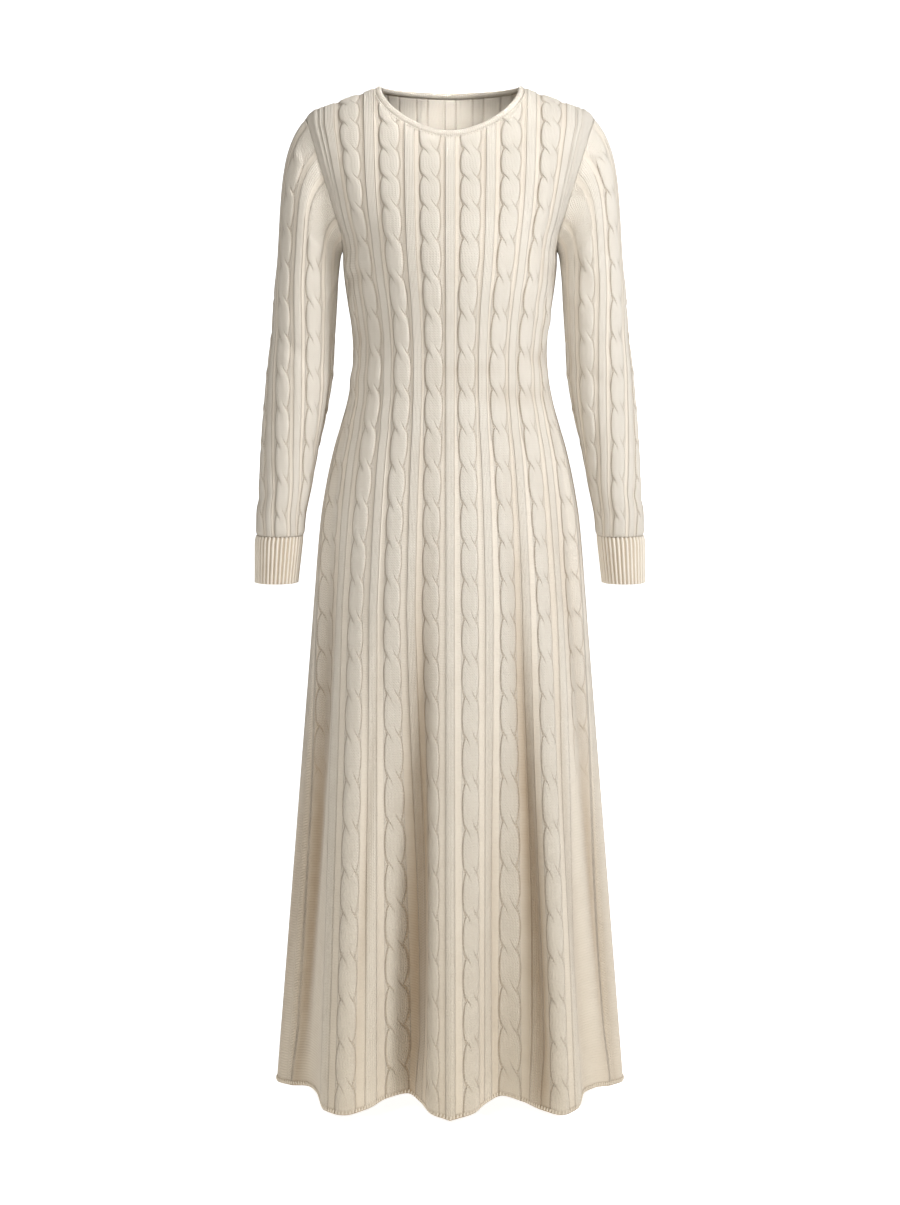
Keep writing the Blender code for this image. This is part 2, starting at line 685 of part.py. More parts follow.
def sleeve(name, sign, collection):
    """A sleeve: wales run up from the cuff and end where the armhole cuts them."""
    cloth = Cloth()
    turn_ring, turn_degrees = columns_of(SLEEVE_TURN)
    last = len(SLEEVE_RINGS) - 1
    outer, inner = [], []
    for rib in range(SLEEVE_WALES):
        for part in (RIB_HALF, CABLE_HALF, 0.5, 1 - CABLE_HALF, 1 - RIB_HALF):
            rings = np.linspace(last, SLEEVE_START, 121)
            turns = smooth(rings, turn_ring, turn_degrees) + (rib + part - 0.5) * 360 / SLEEVE_WALES
            line = sleeve_points(turns, rings, sign)
            arc = np.concatenate([[0], np.cumsum(np.linalg.norm(np.diff(line, axis=0), axis=1))])
            links = arc / SLEEVE_LINK
            counts = np.append(np.arange(0, links[-1] - LEAST_ROW, 0.5), links[-1])
            ring = np.interp(counts, links, rings)
            turn = np.interp(counts, links, turns)
            points = sleeve_points(turn, ring, sign)
            normals = sleeve_normals(turn, ring, sign)
            rise = raised(part, counts)
            rise = rise * np.clip(ring / CABLE_START_RING, 0, 1) * near_body_fade(turn, ring)
            end = turn[-1] % 360
            outer.append((end, cloth.chain(counts, points + rise[:, None] * normals)))
            if lined(part):
                kept = (np.abs(counts * 2 % SLEEVE_LINING_STEP) < SAME_WALE) | (ring < ARMHOLE_FADE)
                inner.append((end, cloth.chain(counts[kept], (points - WALL * normals)[kept])))
    for columns in (outer, inner):
        for k, (_, chain) in enumerate(columns):
            cloth.strip(chain, columns[(k + 1) % len(columns)][1])
    turn, ring = armhole_ring(sign)
    _, away = armhole_frame(sign)
    seam = ring + away * SEAM_GAP
    seam_outer = cloth.chain(turn, seam)
    seam_inner = cloth.chain(turn, seam - WALL * armhole_outward(ring, sign))
    for columns, chain in ((outer, seam_outer), (inner, seam_inner)):
        ends = sorted(((at, c[-1][1]) for at, c in columns), key=lambda end: end[0])
        ends = [(ends[-1][0] - 360, ends[-1][1])] + ends
        loop = chain + [(360.0, chain[0][1])]
        cloth.strip(loop, ends)
    cloth.rim(seam_outer, seam_inner)
    cloth.rim(*([(end, chain[0][1]) for end, chain in columns] for columns in (outer, inner)))
    return cloth.finish(name, CREAM, collection)


def near_body_fade(turn, ring):
    """0 on the side of the sleeve that faces the body near the underarm, and 1 elsewhere."""
    start, end = BODY_SIDE
    first, last = BODY_SIDE_RINGS
    facing = np.clip((-np.cos(np.radians(turn)) - start) / (end - start), 0, 1)
    return 1 - facing * np.clip((last - ring) / (last - first), 0, 1)


def cuff(name, sign, collection):
    """A ribbed tube at the wrist."""
    cloth = Cloth()
    count = 2 * CUFF_RIBS
    angle = 2 * math.pi * np.arange(count) / count
    outer, inner = [], []
    for height, out_x, in_x, deep, forward in CUFF_RINGS:
        rise = CUFF_RIB_RISE * (np.arange(count) % 2)
        for chains, grow in ((outer, rise), (inner, -CUFF_WALL)):
            x = (out_x + in_x) / 2 + ((out_x - in_x) / 2 + grow) * np.cos(angle)
            y = -forward - (deep + grow) * np.sin(angle)
            places = np.stack([sign * x, y, np.full(count, height)], -1)
            chain = cloth.chain(np.arange(count), places)
            chains.append(chain + [(float(count), chain[0][1])])
    inner = [inner[0], inner[-1]]
    for chains in (outer, inner):
        for upper, lower in zip(chains, chains[1:]):
            cloth.strip(upper, lower)
    cloth.strip(outer[0], inner[0])
    cloth.strip(outer[-1], inner[-1])
    return cloth.finish(name, CUFF_CREAM, collection)


def neckband(name, collection):
    """A narrow rolled band that stands on the neck edges of both panels."""
    cloth = Cloth()
    feet, crests, faces, plain = [], [], [], []
    for back in (False, True):
        reach = neck_wale(back)
        wales = panel_wales(back)
        wales = wales[np.abs(wales) < reach + 0.001]
        if back:
            wales = wales[1:-1]
        places = wales + (8 if back else 0)
        low = body_points(places, tops(places))
        across = low[:, 0] * NECK_HALF_WIDTH / (NECK_HALF_WIDTH + NECKBAND_HEIGHT + SEAM_GAP)
        top = np.minimum(neck_height(across, back, 0.0), 0)
        depth = face_depth(across, top, back)
        high = np.stack([across, depth if back else -depth, top], -1)
        ends = np.abs(wales) > reach - 0.001
        low[ends, 1] = 0
        high[ends, 1] = 0
        feet += low.tolist()
        crests += high.tolist()
        faces += body_normals(low).tolist()
        plain += [lined(wale) or end for wale, end in zip(wales, ends)]
    low, high, out = np.array(feet), np.array(crests), np.array(faces)
    low += unit(high - low) * SEAM_GAP
    count = np.arange(len(low))
    chains = []
    for share, proud in BAND_PROFILE:
        kept = count if proud > -WALL else count[np.array(plain)]
        chain = cloth.chain(kept, (low + (high - low) * share + out * proud)[kept])
        chains.append(chain + [(float(len(low)), chain[0][1])])
    for first, second in zip(chains, chains[1:] + chains[:1]):
        cloth.strip(first, second)
    return cloth.finish(name, CREAM, collection)


def main():
    for old in list(bpy.data.objects):
        bpy.data.objects.remove(old)
    dress = bpy.data.collections.new("sweater_dress")
    bpy.context.scene.collection.children.link(dress)
    panel("front", False, dress)
    panel("back", True, dress)
    for side, sign in (("right", -1), ("left", 1)):
        sleeve("sleeve_" + side, sign, dress)
        cuff("cuff_" + side, sign, dress)
    neckband("neckband", dress)


main()
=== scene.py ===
"""Looks of a long cable knit dress: knitted panels, sleeves, cuffs, neckband and hem.

A wale is a number that runs round the body: 0 at the centre front, 4 and -4 at the side seams and
8 at the centre back. Ribs stand on whole wales and cables between them. A link is one turn of a
cable, counted up and down from a crossing just below the underarm.
"""

import math

import bpy
import numpy as np
from bpy.props import FloatProperty, FloatVectorProperty, PointerProperty
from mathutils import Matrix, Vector


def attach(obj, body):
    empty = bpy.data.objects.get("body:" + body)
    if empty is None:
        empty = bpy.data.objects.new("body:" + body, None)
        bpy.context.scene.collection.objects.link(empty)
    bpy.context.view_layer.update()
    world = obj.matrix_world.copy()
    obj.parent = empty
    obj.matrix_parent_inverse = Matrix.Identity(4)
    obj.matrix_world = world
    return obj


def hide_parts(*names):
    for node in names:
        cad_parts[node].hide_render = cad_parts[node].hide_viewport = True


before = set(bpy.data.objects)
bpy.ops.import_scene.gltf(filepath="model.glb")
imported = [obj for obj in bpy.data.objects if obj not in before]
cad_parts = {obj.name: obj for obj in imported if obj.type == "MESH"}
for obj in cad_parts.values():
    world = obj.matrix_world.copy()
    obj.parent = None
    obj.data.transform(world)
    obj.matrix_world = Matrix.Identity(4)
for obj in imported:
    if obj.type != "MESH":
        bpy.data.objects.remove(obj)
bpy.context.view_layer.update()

bl_info = {
    "name": "Cable Knit Dress",
    "version": (1, 0, 0),
    "blender": (4, 5, 0),
    "location": "View3D > Sidebar > Dress",
    "description": "Knits the cloth of a long cable knit dress over its solids",
    "category": "Object",
}

# Cloth
WALL = 0.0018  # knitted wall between the raised stitches
SEAM_GAP = 0.0003

# Neck and shoulders
NECK_HALF_WIDTH = 0.0885
FRONT_NECK_DROP = 0.0610
BACK_NECK_DROP = 0.0040
NECK_ROUNDNESS = 1.7
NECKBAND_HEIGHT = 0.0066
SHOULDER_ROUNDING = 0.050  # depth of the rounded top of the shoulders
SHOULDERS = (  # distance from the centre and height of the shoulder line, carried on over the neck
    (0.0000, 0.0330),
    (0.0885, 0.0000),
    (0.1000, -0.0050),
    (0.1310, -0.0168),
    (0.1540, -0.0240),
    (0.1740, -0.0308),
    (0.1800, -0.0352),
    (0.1840, -0.0410),
)

# Armholes
ARMHOLE_TOP = -0.0410
ARMHOLE_BOTTOM = -0.2090
ARMHOLE_HALF_DEPTH = 0.0530
ARMHOLE_CORNER = -0.1820  # below this the edge turns under the arm
ARMHOLE_WALE = 3.62
EDGES = (  # height and half width along the armhole edge
    (-0.2090, 0.1373),
    (-0.1915, 0.1372),
    (-0.1820, 0.1392),
    (-0.1650, 0.1448),
    (-0.1460, 0.1502),
    (-0.1190, 0.1587),
    (-0.0900, 0.1677),
    (-0.0650, 0.1754),
    (-0.0410, 0.1840),
)

# Body sections, hip to neck: height, half width, depth in front, depth behind, width of a wale
SECTIONS = (
    (-0.6590, 0.1767, 0.1180, 0.1220, 0.0500),
    (-0.5550, 0.1677, 0.1120, 0.1210, 0.0475),
    (-0.5080, 0.1603, 0.1070, 0.1160, 0.0460),
    (-0.4610, 0.1499, 0.1020, 0.1080, 0.0442),
    (-0.4300, 0.1408, 0.0990, 0.1010, 0.0424),
    (-0.3990, 0.1322, 0.0970, 0.0940, 0.0415),
    (-0.3680, 0.1268, 0.0960, 0.0890, 0.0410),
    (-0.3380, 0.1247, 0.0980, 0.0880, 0.0411),
    (-0.3070, 0.1266, 0.1030, 0.0900, 0.0421),
    (-0.2760, 0.1313, 0.1100, 0.0930, 0.0436),
    (-0.2450, 0.1355, 0.1160, 0.0960, 0.0462),
    (-0.2250, 0.1372, 0.1185, 0.0980, 0.0476),
    (-0.2090, 0.1373, 0.1190, 0.0995, 0.0487),
    (-0.1500, 0.0000, 0.1110, 0.1010, 0.0502),
    (-0.0900, 0.0000, 0.0920, 0.0950, 0.0510),
    (-0.0400, 0.0000, 0.0750, 0.0800, 0.0515),
    (0.0000, 0.0000, 0.0620, 0.0670, 0.0520),
)
FITTED_WALE = 2.5  # wales up to this one keep the table's width, and the rest share what is left

# Skirt: straight wales from the hip section to the folds of the hem
HIP = -0.6590
HEM = -1.2970
FOLDS = (  # wale, across, forward and height above the hem of each crest, valley and flank
    (0.00, 0.000, 0.158, -0.009),
    (0.50, 0.029, 0.147, -0.003),
    (1.00, 0.048, 0.116, 0.003),
    (1.35, 0.067, 0.099, 0.007),
    (1.75, 0.093, 0.112, 0.003),
    (2.10, 0.116, 0.139, 0.000),
    (2.50, 0.141, 0.156, -0.002),
    (3.00, 0.164, 0.128, -0.001),
    (3.20, 0.173, 0.089, 0.008),
    (3.38, 0.187, 0.066, 0.008),
    (3.62, 0.210, 0.040, 0.004),
    (4.00, 0.229, 0.000, 0.001),
    (4.30, 0.214, -0.040, 0.004),
    (4.56, 0.187, -0.066, 0.006),
    (4.82, 0.172, -0.100, 0.002),
    (5.40, 0.145, -0.146, -0.002),
    (5.87, 0.112, -0.142, -0.001),
    (6.44, 0.083, -0.112, 0.004),
    (6.78, 0.062, -0.101, 0.006),
    (7.20, 0.042, -0.124, 0.001),
    (7.62, 0.023, -0.150, -0.003),
    (8.00, 0.000, -0.159, -0.005),
    (8.42, -0.027, -0.148, -0.002),
    (8.88, -0.046, -0.121, 0.003),
    (9.30, -0.069, -0.103, 0.006),
    (9.72, -0.093, -0.120, 0.002),
    (10.29, -0.122, -0.148, -0.002),
    (10.75, -0.153, -0.140, -0.001),
    (11.21, -0.176, -0.098, 0.003),
    (11.44, -0.192, -0.070, 0.006),
    (11.71, -0.216, -0.040, 0.003),
    (12.00, -0.229, 0.000, 0.001),
    (12.38, -0.208, 0.041, 0.005),
    (12.65, -0.182, 0.067, 0.010),
    (12.80, -0.171, 0.094, 0.008),
    (13.00, -0.161, 0.136, -0.001),
    (13.50, -0.134, 0.157, -0.002),
    (13.95, -0.105, 0.139, 0.001),
    (14.30, -0.081, 0.111, 0.007),
    (14.68, -0.055, 0.098, 0.010),
    (15.00, -0.039, 0.114, 0.004),
    (15.50, -0.024, 0.147, -0.003),
    (16.00, 0.000, 0.158, -0.009),
)
WALES_ROUND = 16

# Cables: height and length of a link there
UNDERARM_LEVEL = -0.2421
EDGE_START = -0.2620  # from here up the wale of the armhole bends to its edge
LINKS = (
    (-1.2970, 0.0537),
    (-0.9800, 0.0540),
    (-0.9050, 0.0592),
    (-0.8500, 0.0570),
    (-0.7900, 0.0497),
    (-0.6200, 0.0483),
    (-0.4500, 0.0472),
    (-0.3300, 0.0490),
    (-0.2640, 0.0450),
    (-0.2187, 0.0468),
    (-0.1740, 0.0420),
    (-0.1350, 0.0361),
    (0.0000, 0.0361),
)
SIDE_CABLE_ROOM = 0.85  # share of the way to the armhole's wale that it may take
LEAST_ROW = 0.15  # links
NORMAL_STEP = 0.0008

# Right sleeve: outer line across and up, inner line across and up, half depth, centre forward
SLEEVE_RINGS = (
    (0.1840, -0.0410, 0.1373, -0.2090, 0.0530, 0.0000),
    (0.1985, -0.0640, 0.1389, -0.2125, 0.0535, 0.0000),
    (0.2085, -0.0930, 0.1403, -0.2170, 0.0540, 0.0000),
    (0.2140, -0.1280, 0.1413, -0.2235, 0.0535, 0.0000),
    (0.2172, -0.1680, 0.1422, -0.2330, 0.0525, 0.0000),
    (0.2200, -0.2150, 0.1434, -0.2500, 0.0510, 0.0010),
    (0.2245, -0.2620, 0.1450, -0.2800, 0.0500, 0.0020),
    (0.2276, -0.3120, 0.1488, -0.3220, 0.0485, 0.0030),
    (0.2335, -0.3630, 0.1528, -0.3680, 0.0465, 0.0050),
    (0.2380, -0.4120, 0.1605, -0.4140, 0.0440, 0.0070),
    (0.2420, -0.4600, 0.1708, -0.4610, 0.0420, 0.0090),
    (0.2453, -0.5080, 0.1790, -0.5080, 0.0395, 0.0110),
    (0.2488, -0.5480, 0.1872, -0.5480, 0.0365, 0.0120),
    (0.2492, -0.5730, 0.1895, -0.5730, 0.0335, 0.0130),
)
ARMHOLE_FADE = 3.0  # rings over which the armhole's own curve fades
SLEEVE_TURN = (  # ring, and degrees from the outer line to the first cable in front
    (0.0, 44.0),
    (5.0, 44.0),
    (7.0, 53.0),
    (8.7, 65.0),
    (10.0, 77.0),
    (11.4, 90.0),
    (13.0, 96.0),
)
SLEEVE_WALES = 6
SLEEVE_LINK = 0.0455
BODY_SIDE = (0.5, 0.9)  # cosine of the turn from the inner line where cables start and end to fade
BODY_SIDE_RINGS = (6.0, 8.0)  # rings between which that fade ends

# Cuff: height, outer line, inner line, half depth, centre forward
CUFF_RINGS = (
    (-0.5733, 0.2490, 0.1908, 0.0325, 0.0130),
    (-0.5800, 0.2508, 0.1912, 0.0330, 0.0130),
    (-0.6345, 0.2512, 0.1975, 0.0295, 0.0140),
)
CUFF_WALL = 0.0022
CUFF_RIBS = 34

# Knitting: half widths are in wales
CABLE_HALF = 0.25  # on the sleeves
RIB_HALF = 0.115  # on the sleeves
CABLE_Z = np.array([-1.297, -0.659, -0.43, -0.368, -0.245, 0.0])
CABLE_WIDTH = np.array([0.225, 0.220, 0.265, 0.282, 0.262, 0.262])
RIB_WIDTH = np.array([0.108, 0.108, 0.125, 0.132, 0.120, 0.120])
CABLE_TALL = np.array([0.50, 0.66, 0.90, 0.95, 1.0, 1.0])  # share of the full height
ON_CABLE = 1.03  # half widths of a cable that belong to it
SLEEVE_TALL = 0.92  # share of the full height there
RIB_EDGE = 0.02  # soft edge of a rib
BODY_POWER = 0.55  # roundness of a cable's section
PINCH_REACH = 0.16  # links over which a cable widens again after a crossing
OVER_SHIFT = 0.50  # place of the upper strand beside a crossing, in half widths of its cable
OVER_HALF = 0.50  # half width of the upper strand, measured in the same way
VALLEY = 0.10  # depth between the strands, away from the crossings
VALLEY_HALF = 0.16
INSIDE_WALES = 1.4  # ribs of the inside for each wale
INSIDE_RIB = 0.65
STRAND_STITCHES = 3.5  # across half a cable
RIB_STITCHES = 3.0  # across a rib
LAST_RIB = 3  # the last whole rib before a side seam

# Beside the side seams: narrower cables in the skirt, and plain lines above them
SIDE_GAP = 0.035  # from the last rib to where they begin
SIDE_CABLE = 3.44
SIDE_CABLE_HALF = 0.15
SIDE_CABLE_REACH = 1.35  # half widths, with the creases beside it
SIDE_CABLE_TOP = -0.3  # its ends are in links
SIDE_CABLE_FOOT = -14.5
SIDE_CABLE_FADE = 4.0  # links over which it fades out above its foot
SIDE_SECOND = 3.83
SIDE_SECOND_HALF = 0.12
SIDE_SECOND_TOP = -7.0
SIDE_LINES = ((3.22, 0.030), (3.38, 0.055))  # wale and half width of the plain lines
SIDE_RIB = 3.64
SIDE_RIB_HALF = 0.035
SIDE_STITCHES = 12  # for each wale of the plain cloth there

# Hem
HEM_RISE = 0.0034  # of the middle of the hem stitches
HEM_PROUD = 0.0004
HEM_BAND = 0.09  # links that the shade behind the stitches reaches up
HEM_SHADE = 2.4
HEM_SETTLE = 1.6  # links above the hem over which creases fade

# Wool
WOOL_SHADER = {
    "Roughness": 0.9,
    "Sheen Weight": 0.25,
    "Sheen Roughness": 0.6,
    "Sheen Tint": (1.0, 0.96, 0.9, 1.0),
    "Specular IOR Level": 0.2,
}
MOTTLE = {"Scale": 34.0, "Detail": 3.0}
FUZZ = {"Scale": 900.0, "Detail": 2.0}
BUMP = {"Strength": 0.75, "Distance": 0.0011}
FUZZ_BUMP = 0.35  # bumps are heights over the bump's distance
STITCH_BUMP = 1.15
PURL_BUMP = 0.22
LINE_BUMP = 2.2
MOTTLE_SHADE = 0.22  # shades are shares of the way to the colour of the hollows; the hollow, line and stitch shades are painted shade, the mottle is the wool's own uneven tone
HOLLOW_SHADE = 0.16
LINE_SHADE = 0.52
STITCH_SHADE = 0.15
LEG_SLANT = 1.5  # courses that a stitch's leg rises over its width
LEG_ROUNDNESS = 0.6
STITCH_DIP = 0.6  # between one stitch and the next
LINE_HALF = 0.11  # half width of a crease line over that of its cable
LINE_BASE = 0.7  # strength of a line between the beads of its stitches
LINE_LEAN = 0.16  # how much stronger the line on one side of a cable is, as bump and as painted shade; on the front that is the side turned away from the key light
HOOK_FALL = 1.6  # how fast a crossing's line fades away from it
RIB_SHARE = 0.47  # half width of a rib over that of a cable
RIB_LINE = 0.7
RIB_LINE_HALF = 0.8 * LINE_HALF
LEAST_HALF = 0.05  # cloth with a cable half width between these has lines along its cables
MOST_HALF = 0.6
# Painted shade on the cuffs: the ribs a little darker than the plain wool, the tube seen between
# them much darker
CUFF_RIB_SHADE = 0.12
CUFF_GAP_SHADE = 0.75
LOW_SHADE_TOP = -0.55  # painted shade: the skirt darkens from here to its hem
LOW_SHADE = 0.80
LOW_SHADE_TONE = (0.62, 0.575, 0.50, 1.0)

# Fades of the relief towards the edges
SIDE_FADE = 0.03  # wales
TOP_FADE = 0.35  # links
RING_FADE = 0.35  # rings

# Fineness of the meshes, and the sections that they follow
COLUMN_PLACES = np.array([  # over half a wale
    0, 0.06, 0.105, 0.12, 0.14, 0.19, 0.23, 0.245, 0.262, 0.28, 0.305, 0.335, 0.37, 0.41, 0.455, 0.5
])
LOW_ROWS = 286
MIDDLE_ROWS = 16
TOP_ROWS = 56
INNER_COLUMN_STEP = 3  # steps of the plainer inside, below and above the underarm
INNER_ROW_STEP = 7
MIDDLE_ROW_STEP = 4
TOP_ROW_STEP = 3
SLEEVE_ROW_STEP = 4
SLEEVE_COLUMNS = 24
SLEEVE_ROWS = 176
SLEEVE_PHASE = 0.35  # links
SLEEVE_CABLE_START = 0.8  # rings below the armhole
SLEEVE_INNER_START = 2.6  # and this many more on the inner side
CUFF_COLUMNS = 136
CUFF_LEVELS = 15
CUFF_COURSES = 300  # for each metre
RIB_SIDES = 8
RIB_POINTS = 12
NECK_COLUMNS = 72
BAND_COURSES = 0.8
NECK_STITCH_DROP = 0.0012  # of the seam's stitches below the band
NECK_STITCH_PROUD = 0.0006
HEM_POINTS = 640
BAND_SECTION = (  # share of the neckband's height, and how proud it stands there
    (0.00, 0.0002),
    (0.25, 0.0010),
    (0.55, 0.0016),
    (0.85, 0.0011),
    (1.02, -0.0004),
    (1.02, -0.0016),
    (0.85, -0.0025),
    (0.40, -0.0025),
    (0.00, -0.0022),
)

# Soft creases
DEEP_CREASE = 0.0092  # the depth at which the painted shade of a crease is full
DEEPEST_SHADE = 1.3
CREASE_SHADE = 4.4  # how much more painted shade a deep crease gets than a gutter
FRONT_CREASES = (  # place across, height, lean in degrees, half length, half width, depth
    (-0.150, -0.262, 52, 0.050, 0.011, -0.0030),
    (-0.135, -0.235, 64, 0.040, 0.009, 0.0022),
    (-0.160, -0.330, 78, 0.060, 0.012, -0.0026),
    (-0.120, -0.372, 84, 0.070, 0.013, 0.0022),
    (0.152, -0.255, -50, 0.050, 0.012, -0.0028),
    (0.128, -0.300, -66, 0.050, 0.010, 0.0020),
    (0.150, -0.352, -80, 0.060, 0.012, -0.0026),
    (0.085, -0.392, -86, 0.080, 0.014, -0.0020),
    (-0.060, -0.418, 86, 0.090, 0.015, 0.0020),
    (0.020, -0.360, 88, 0.060, 0.012, -0.0014),
    (-0.150, -0.560, 8, 0.120, 0.018, 0.0022),
    (0.140, -0.600, -10, 0.130, 0.020, -0.0024),
    (-0.045, -1.040, 1.5, 0.380, 0.016, -0.0116),
    (-0.106, -1.000, 3, 0.300, 0.006, -0.0035),
    (-0.180, -1.000, 4, 0.380, 0.012, -0.0112),
    (-0.163, -1.020, 3.5, 0.340, 0.005, 0.0025),
    (-0.208, -1.080, 6, 0.260, 0.008, -0.0055),
    (0.104, -1.040, -2.5, 0.380, 0.013, -0.0122),
    (0.055, -1.050, -1, 0.280, 0.006, -0.0030),
    (0.154, -1.000, -4, 0.300, 0.006, -0.0040),
    (0.188, -1.020, -5, 0.320, 0.010, -0.0080),
)
BACK_CREASES = (
    (-0.148, -0.258, 50, 0.050, 0.012, -0.0026),
    (-0.120, -0.340, 74, 0.060, 0.012, 0.0020),
    (-0.060, -0.385, 86, 0.080, 0.014, -0.0022),
    (0.145, -0.250, -54, 0.050, 0.011, -0.0028),
    (0.130, -0.318, -70, 0.050, 0.012, -0.0024),
    (0.050, -0.405, -87, 0.090, 0.015, 0.0022),
    (0.030, -0.350, 86, 0.070, 0.013, -0.0016),
    (-0.130, -0.590, 9, 0.120, 0.019, -0.0024),
    (0.120, -0.560, -7, 0.120, 0.019, 0.0020),
    (0.020, -1.030, 0, 0.350, 0.012, -0.0095),
    (-0.078, -1.010, 3, 0.340, 0.011, -0.0100),
    (0.092, -1.000, -3, 0.330, 0.010, -0.0088),
    (-0.150, -1.040, 5, 0.300, 0.008, -0.0040),
    (0.168, -1.020, -5, 0.320, 0.010, -0.0052),
    (-0.192, -1.060, 6, 0.260, 0.009, -0.0044),
)
SLEEVE_ROUND = 0.26  # the place on a sleeve is measured round it from the outer line, forwards
SLEEVE_CREASES = (
    (0.085, -0.225, 24, 0.050, 0.010, -0.0022),
    (0.100, -0.262, 34, 0.045, 0.009, 0.0018),
    (0.060, -0.335, -52, 0.040, 0.010, -0.0020),
    (0.075, -0.372, 60, 0.045, 0.010, -0.0018),
    (0.030, -0.520, 78, 0.040, 0.008, -0.0018),
    (-0.090, -0.240, -26, 0.050, 0.010, -0.0022),
    (-0.070, -0.350, 56, 0.045, 0.010, -0.0020),
    (-0.040, -0.512, -74, 0.040, 0.008, -0.0018),
)

# Studio
FLOOR = -1.322  # a little below the hem
FLOOR_EDGES = (-5.0, -1.5, 1.5, 5.0)  # across; the paper between the middle two gives off light
WALL_AT = 3.9
BEND = 1.2
FLOOR_PATH = [(-4.5, 0.0), (-0.6, 0.0)]  # back and up, from the front edge
WALL_TOP = (5.1, 4.4)
PAPER_ROUGHNESS = 0.9
LIGHTS = {  # place, target and size
    "key": ((2.2, -1.7, 1.2), (0, 0, -0.5), 0.8),
    "top": ((0.1, -1.3, 1.7), (0, 0.05, -0.1), 0.8),
    "fill": ((-0.6, -2.8, 0.45), (0, 0, -0.3), 1.2),
    "neck": ((0, -0.75, 0.42), (0, 0.1, -0.055), 0.10),
}
KEY_COLOUR = (0.97, 1.0, 1.06)
NECK_SPREAD = 17  # degrees
SKY_COLOUR = (1.0, 0.93, 0.83, 1.0)
SENSOR = 36.0
LENS = 83.2
CAMERA_PLACE = (0.0, -3.6, -0.293)
CAMERA_PITCH = 5.85


def smooth(at, xs, ys):
    """The curve through the points (xs, ys) that never overshoots them, level past its ends."""
    xs = np.asarray(xs, float)
    ys = np.asarray(ys, float)
    width = np.diff(xs)
    rate = np.diff(ys) / width
    slope = np.zeros(len(xs))
    same = rate[:-1] * rate[1:] > 0
    mean = 2 * rate[:-1] * rate[1:] / np.where(same, rate[:-1] + rate[1:], 1)
    slope[1:-1] = np.where(same, mean, 0)
    slope[0] = rate[0]
    slope[-1] = rate[-1]
    at = np.clip(at, xs[0], xs[-1])
    k = np.clip(np.searchsorted(xs, at, side="right") - 1, 0, len(width) - 1)
    t = (at - xs[k]) / width[k]
    rise = (3 - 2 * t) * t * t
    return (
        ys[k]
        + (ys[k + 1] - ys[k]) * rise
        + width[k] * t * (1 - t) * ((1 - t) * slope[k] - t * slope[k + 1])
    )


def columns_of(table):
    return [np.array(column) for column in zip(*table)]


SECTION_Z, SECTION_WIDTH, SECTION_FRONT, SECTION_BACK, SECTION_WALE = columns_of(SECTIONS)
EDGE_Z, EDGE_WIDTH = columns_of(EDGES)
SHOULDER_ACROSS, SHOULDER_Z = columns_of(SHOULDERS)
FOLD_WALE, FOLD_ACROSS, FOLD_FORWARD, FOLD_RISE = columns_of(FOLDS)
FULL = SECTION_WIDTH > 0
ARMHOLE_MIDDLE = (ARMHOLE_TOP + ARMHOLE_BOTTOM) / 2
ARMHOLE_REACH = (ARMHOLE_TOP - ARMHOLE_BOTTOM) / 2


def side_of(wale):
    """How far a wale is from the centre of its own panel, and whether that is the back."""
    wale = (np.asarray(wale, float) + 8) % WALES_ROUND - 8
    back = np.abs(wale) > 4
    return np.where(back, 8 - np.abs(wale), np.abs(wale)), back, np.sign(wale)


def ridge_height(across):
    """Height of the shoulder line at a distance from the centre."""
    return smooth(np.abs(across), SHOULDER_ACROSS, SHOULDER_Z)


def rounding(across, height):
    """The square of the share of the full depth: 0 on the shoulder line, 1 well below it."""
    below = np.clip((ridge_height(across) - height) / SHOULDER_ROUNDING, 0, 1)
    return 1 - (1 - below) ** 2


def depth_at(height, back):
    return smooth(height, SECTION_Z, SECTION_BACK if back else SECTION_FRONT)


def armhole_depth(height):
    share = np.clip((height - ARMHOLE_MIDDLE) / ARMHOLE_REACH, -1, 1)
    return ARMHOLE_HALF_DEPTH * np.sqrt(1 - share**2)


def half_width(height, back):
    """Half width of the ellipse at a height: over the underarm it passes the armhole edge."""
    below = smooth(np.minimum(height, ARMHOLE_BOTTOM), SECTION_Z[FULL], SECTION_WIDTH[FULL])
    above = np.clip(height, ARMHOLE_BOTTOM, EDGE_Z[-2])
    edge = smooth(above, EDGE_Z, EDGE_WIDTH)
    full = depth_at(above, back) * np.sqrt(rounding(edge, above))
    over = edge / np.sqrt(1 - (armhole_depth(above) / full) ** 2)
    return np.where(height <= ARMHOLE_BOTTOM, below, over)


def wale_angles(back):
    """Table of each wale's angle on the ellipse, from the centre to the side, at many heights."""
    heights = np.linspace(HIP, 0, 133)
    fine = np.linspace(0, 4, 81)
    angle = np.linspace(0, math.pi / 2, 91)
    found = []
    for height in heights:
        wide = float(half_width(height, back))
        deep = float(depth_at(height, back))
        step = np.hypot(np.diff(wide * np.sin(angle)), np.diff(deep * np.cos(angle)))
        arc = np.concatenate([[0], np.cumsum(step)])
        wale = float(smooth(height, SECTION_Z, SECTION_WALE))
        fitted = FITTED_WALE * wale
        share = (ARMHOLE_WALE - FITTED_WALE) / (4 - FITTED_WALE)
        plain = fitted + share * (arc[-1] - fitted)
        at = max(height, ARMHOLE_CORNER)
        seam = math.asin(float(smooth(at, EDGE_Z, EDGE_WIDTH)) / float(half_width(at, back)))
        turn = np.interp(height, [EDGE_START, ARMHOLE_CORNER], [0, 1])
        edge = plain + (np.interp(seam, angle, arc) - plain) * turn
        side = fitted + min(wale, (edge - fitted) * SIDE_CABLE_ROOM)
        marks = [0, FITTED_WALE, SIDE_CABLE, ARMHOLE_WALE, 4]
        lengths = np.interp(fine, marks, [0, fitted, side, edge, arc[-1]])
        found.append(np.interp(lengths, arc, angle))
    return heights, fine, np.array(found)


ANGLES = {False: wale_angles(False), True: wale_angles(True)}


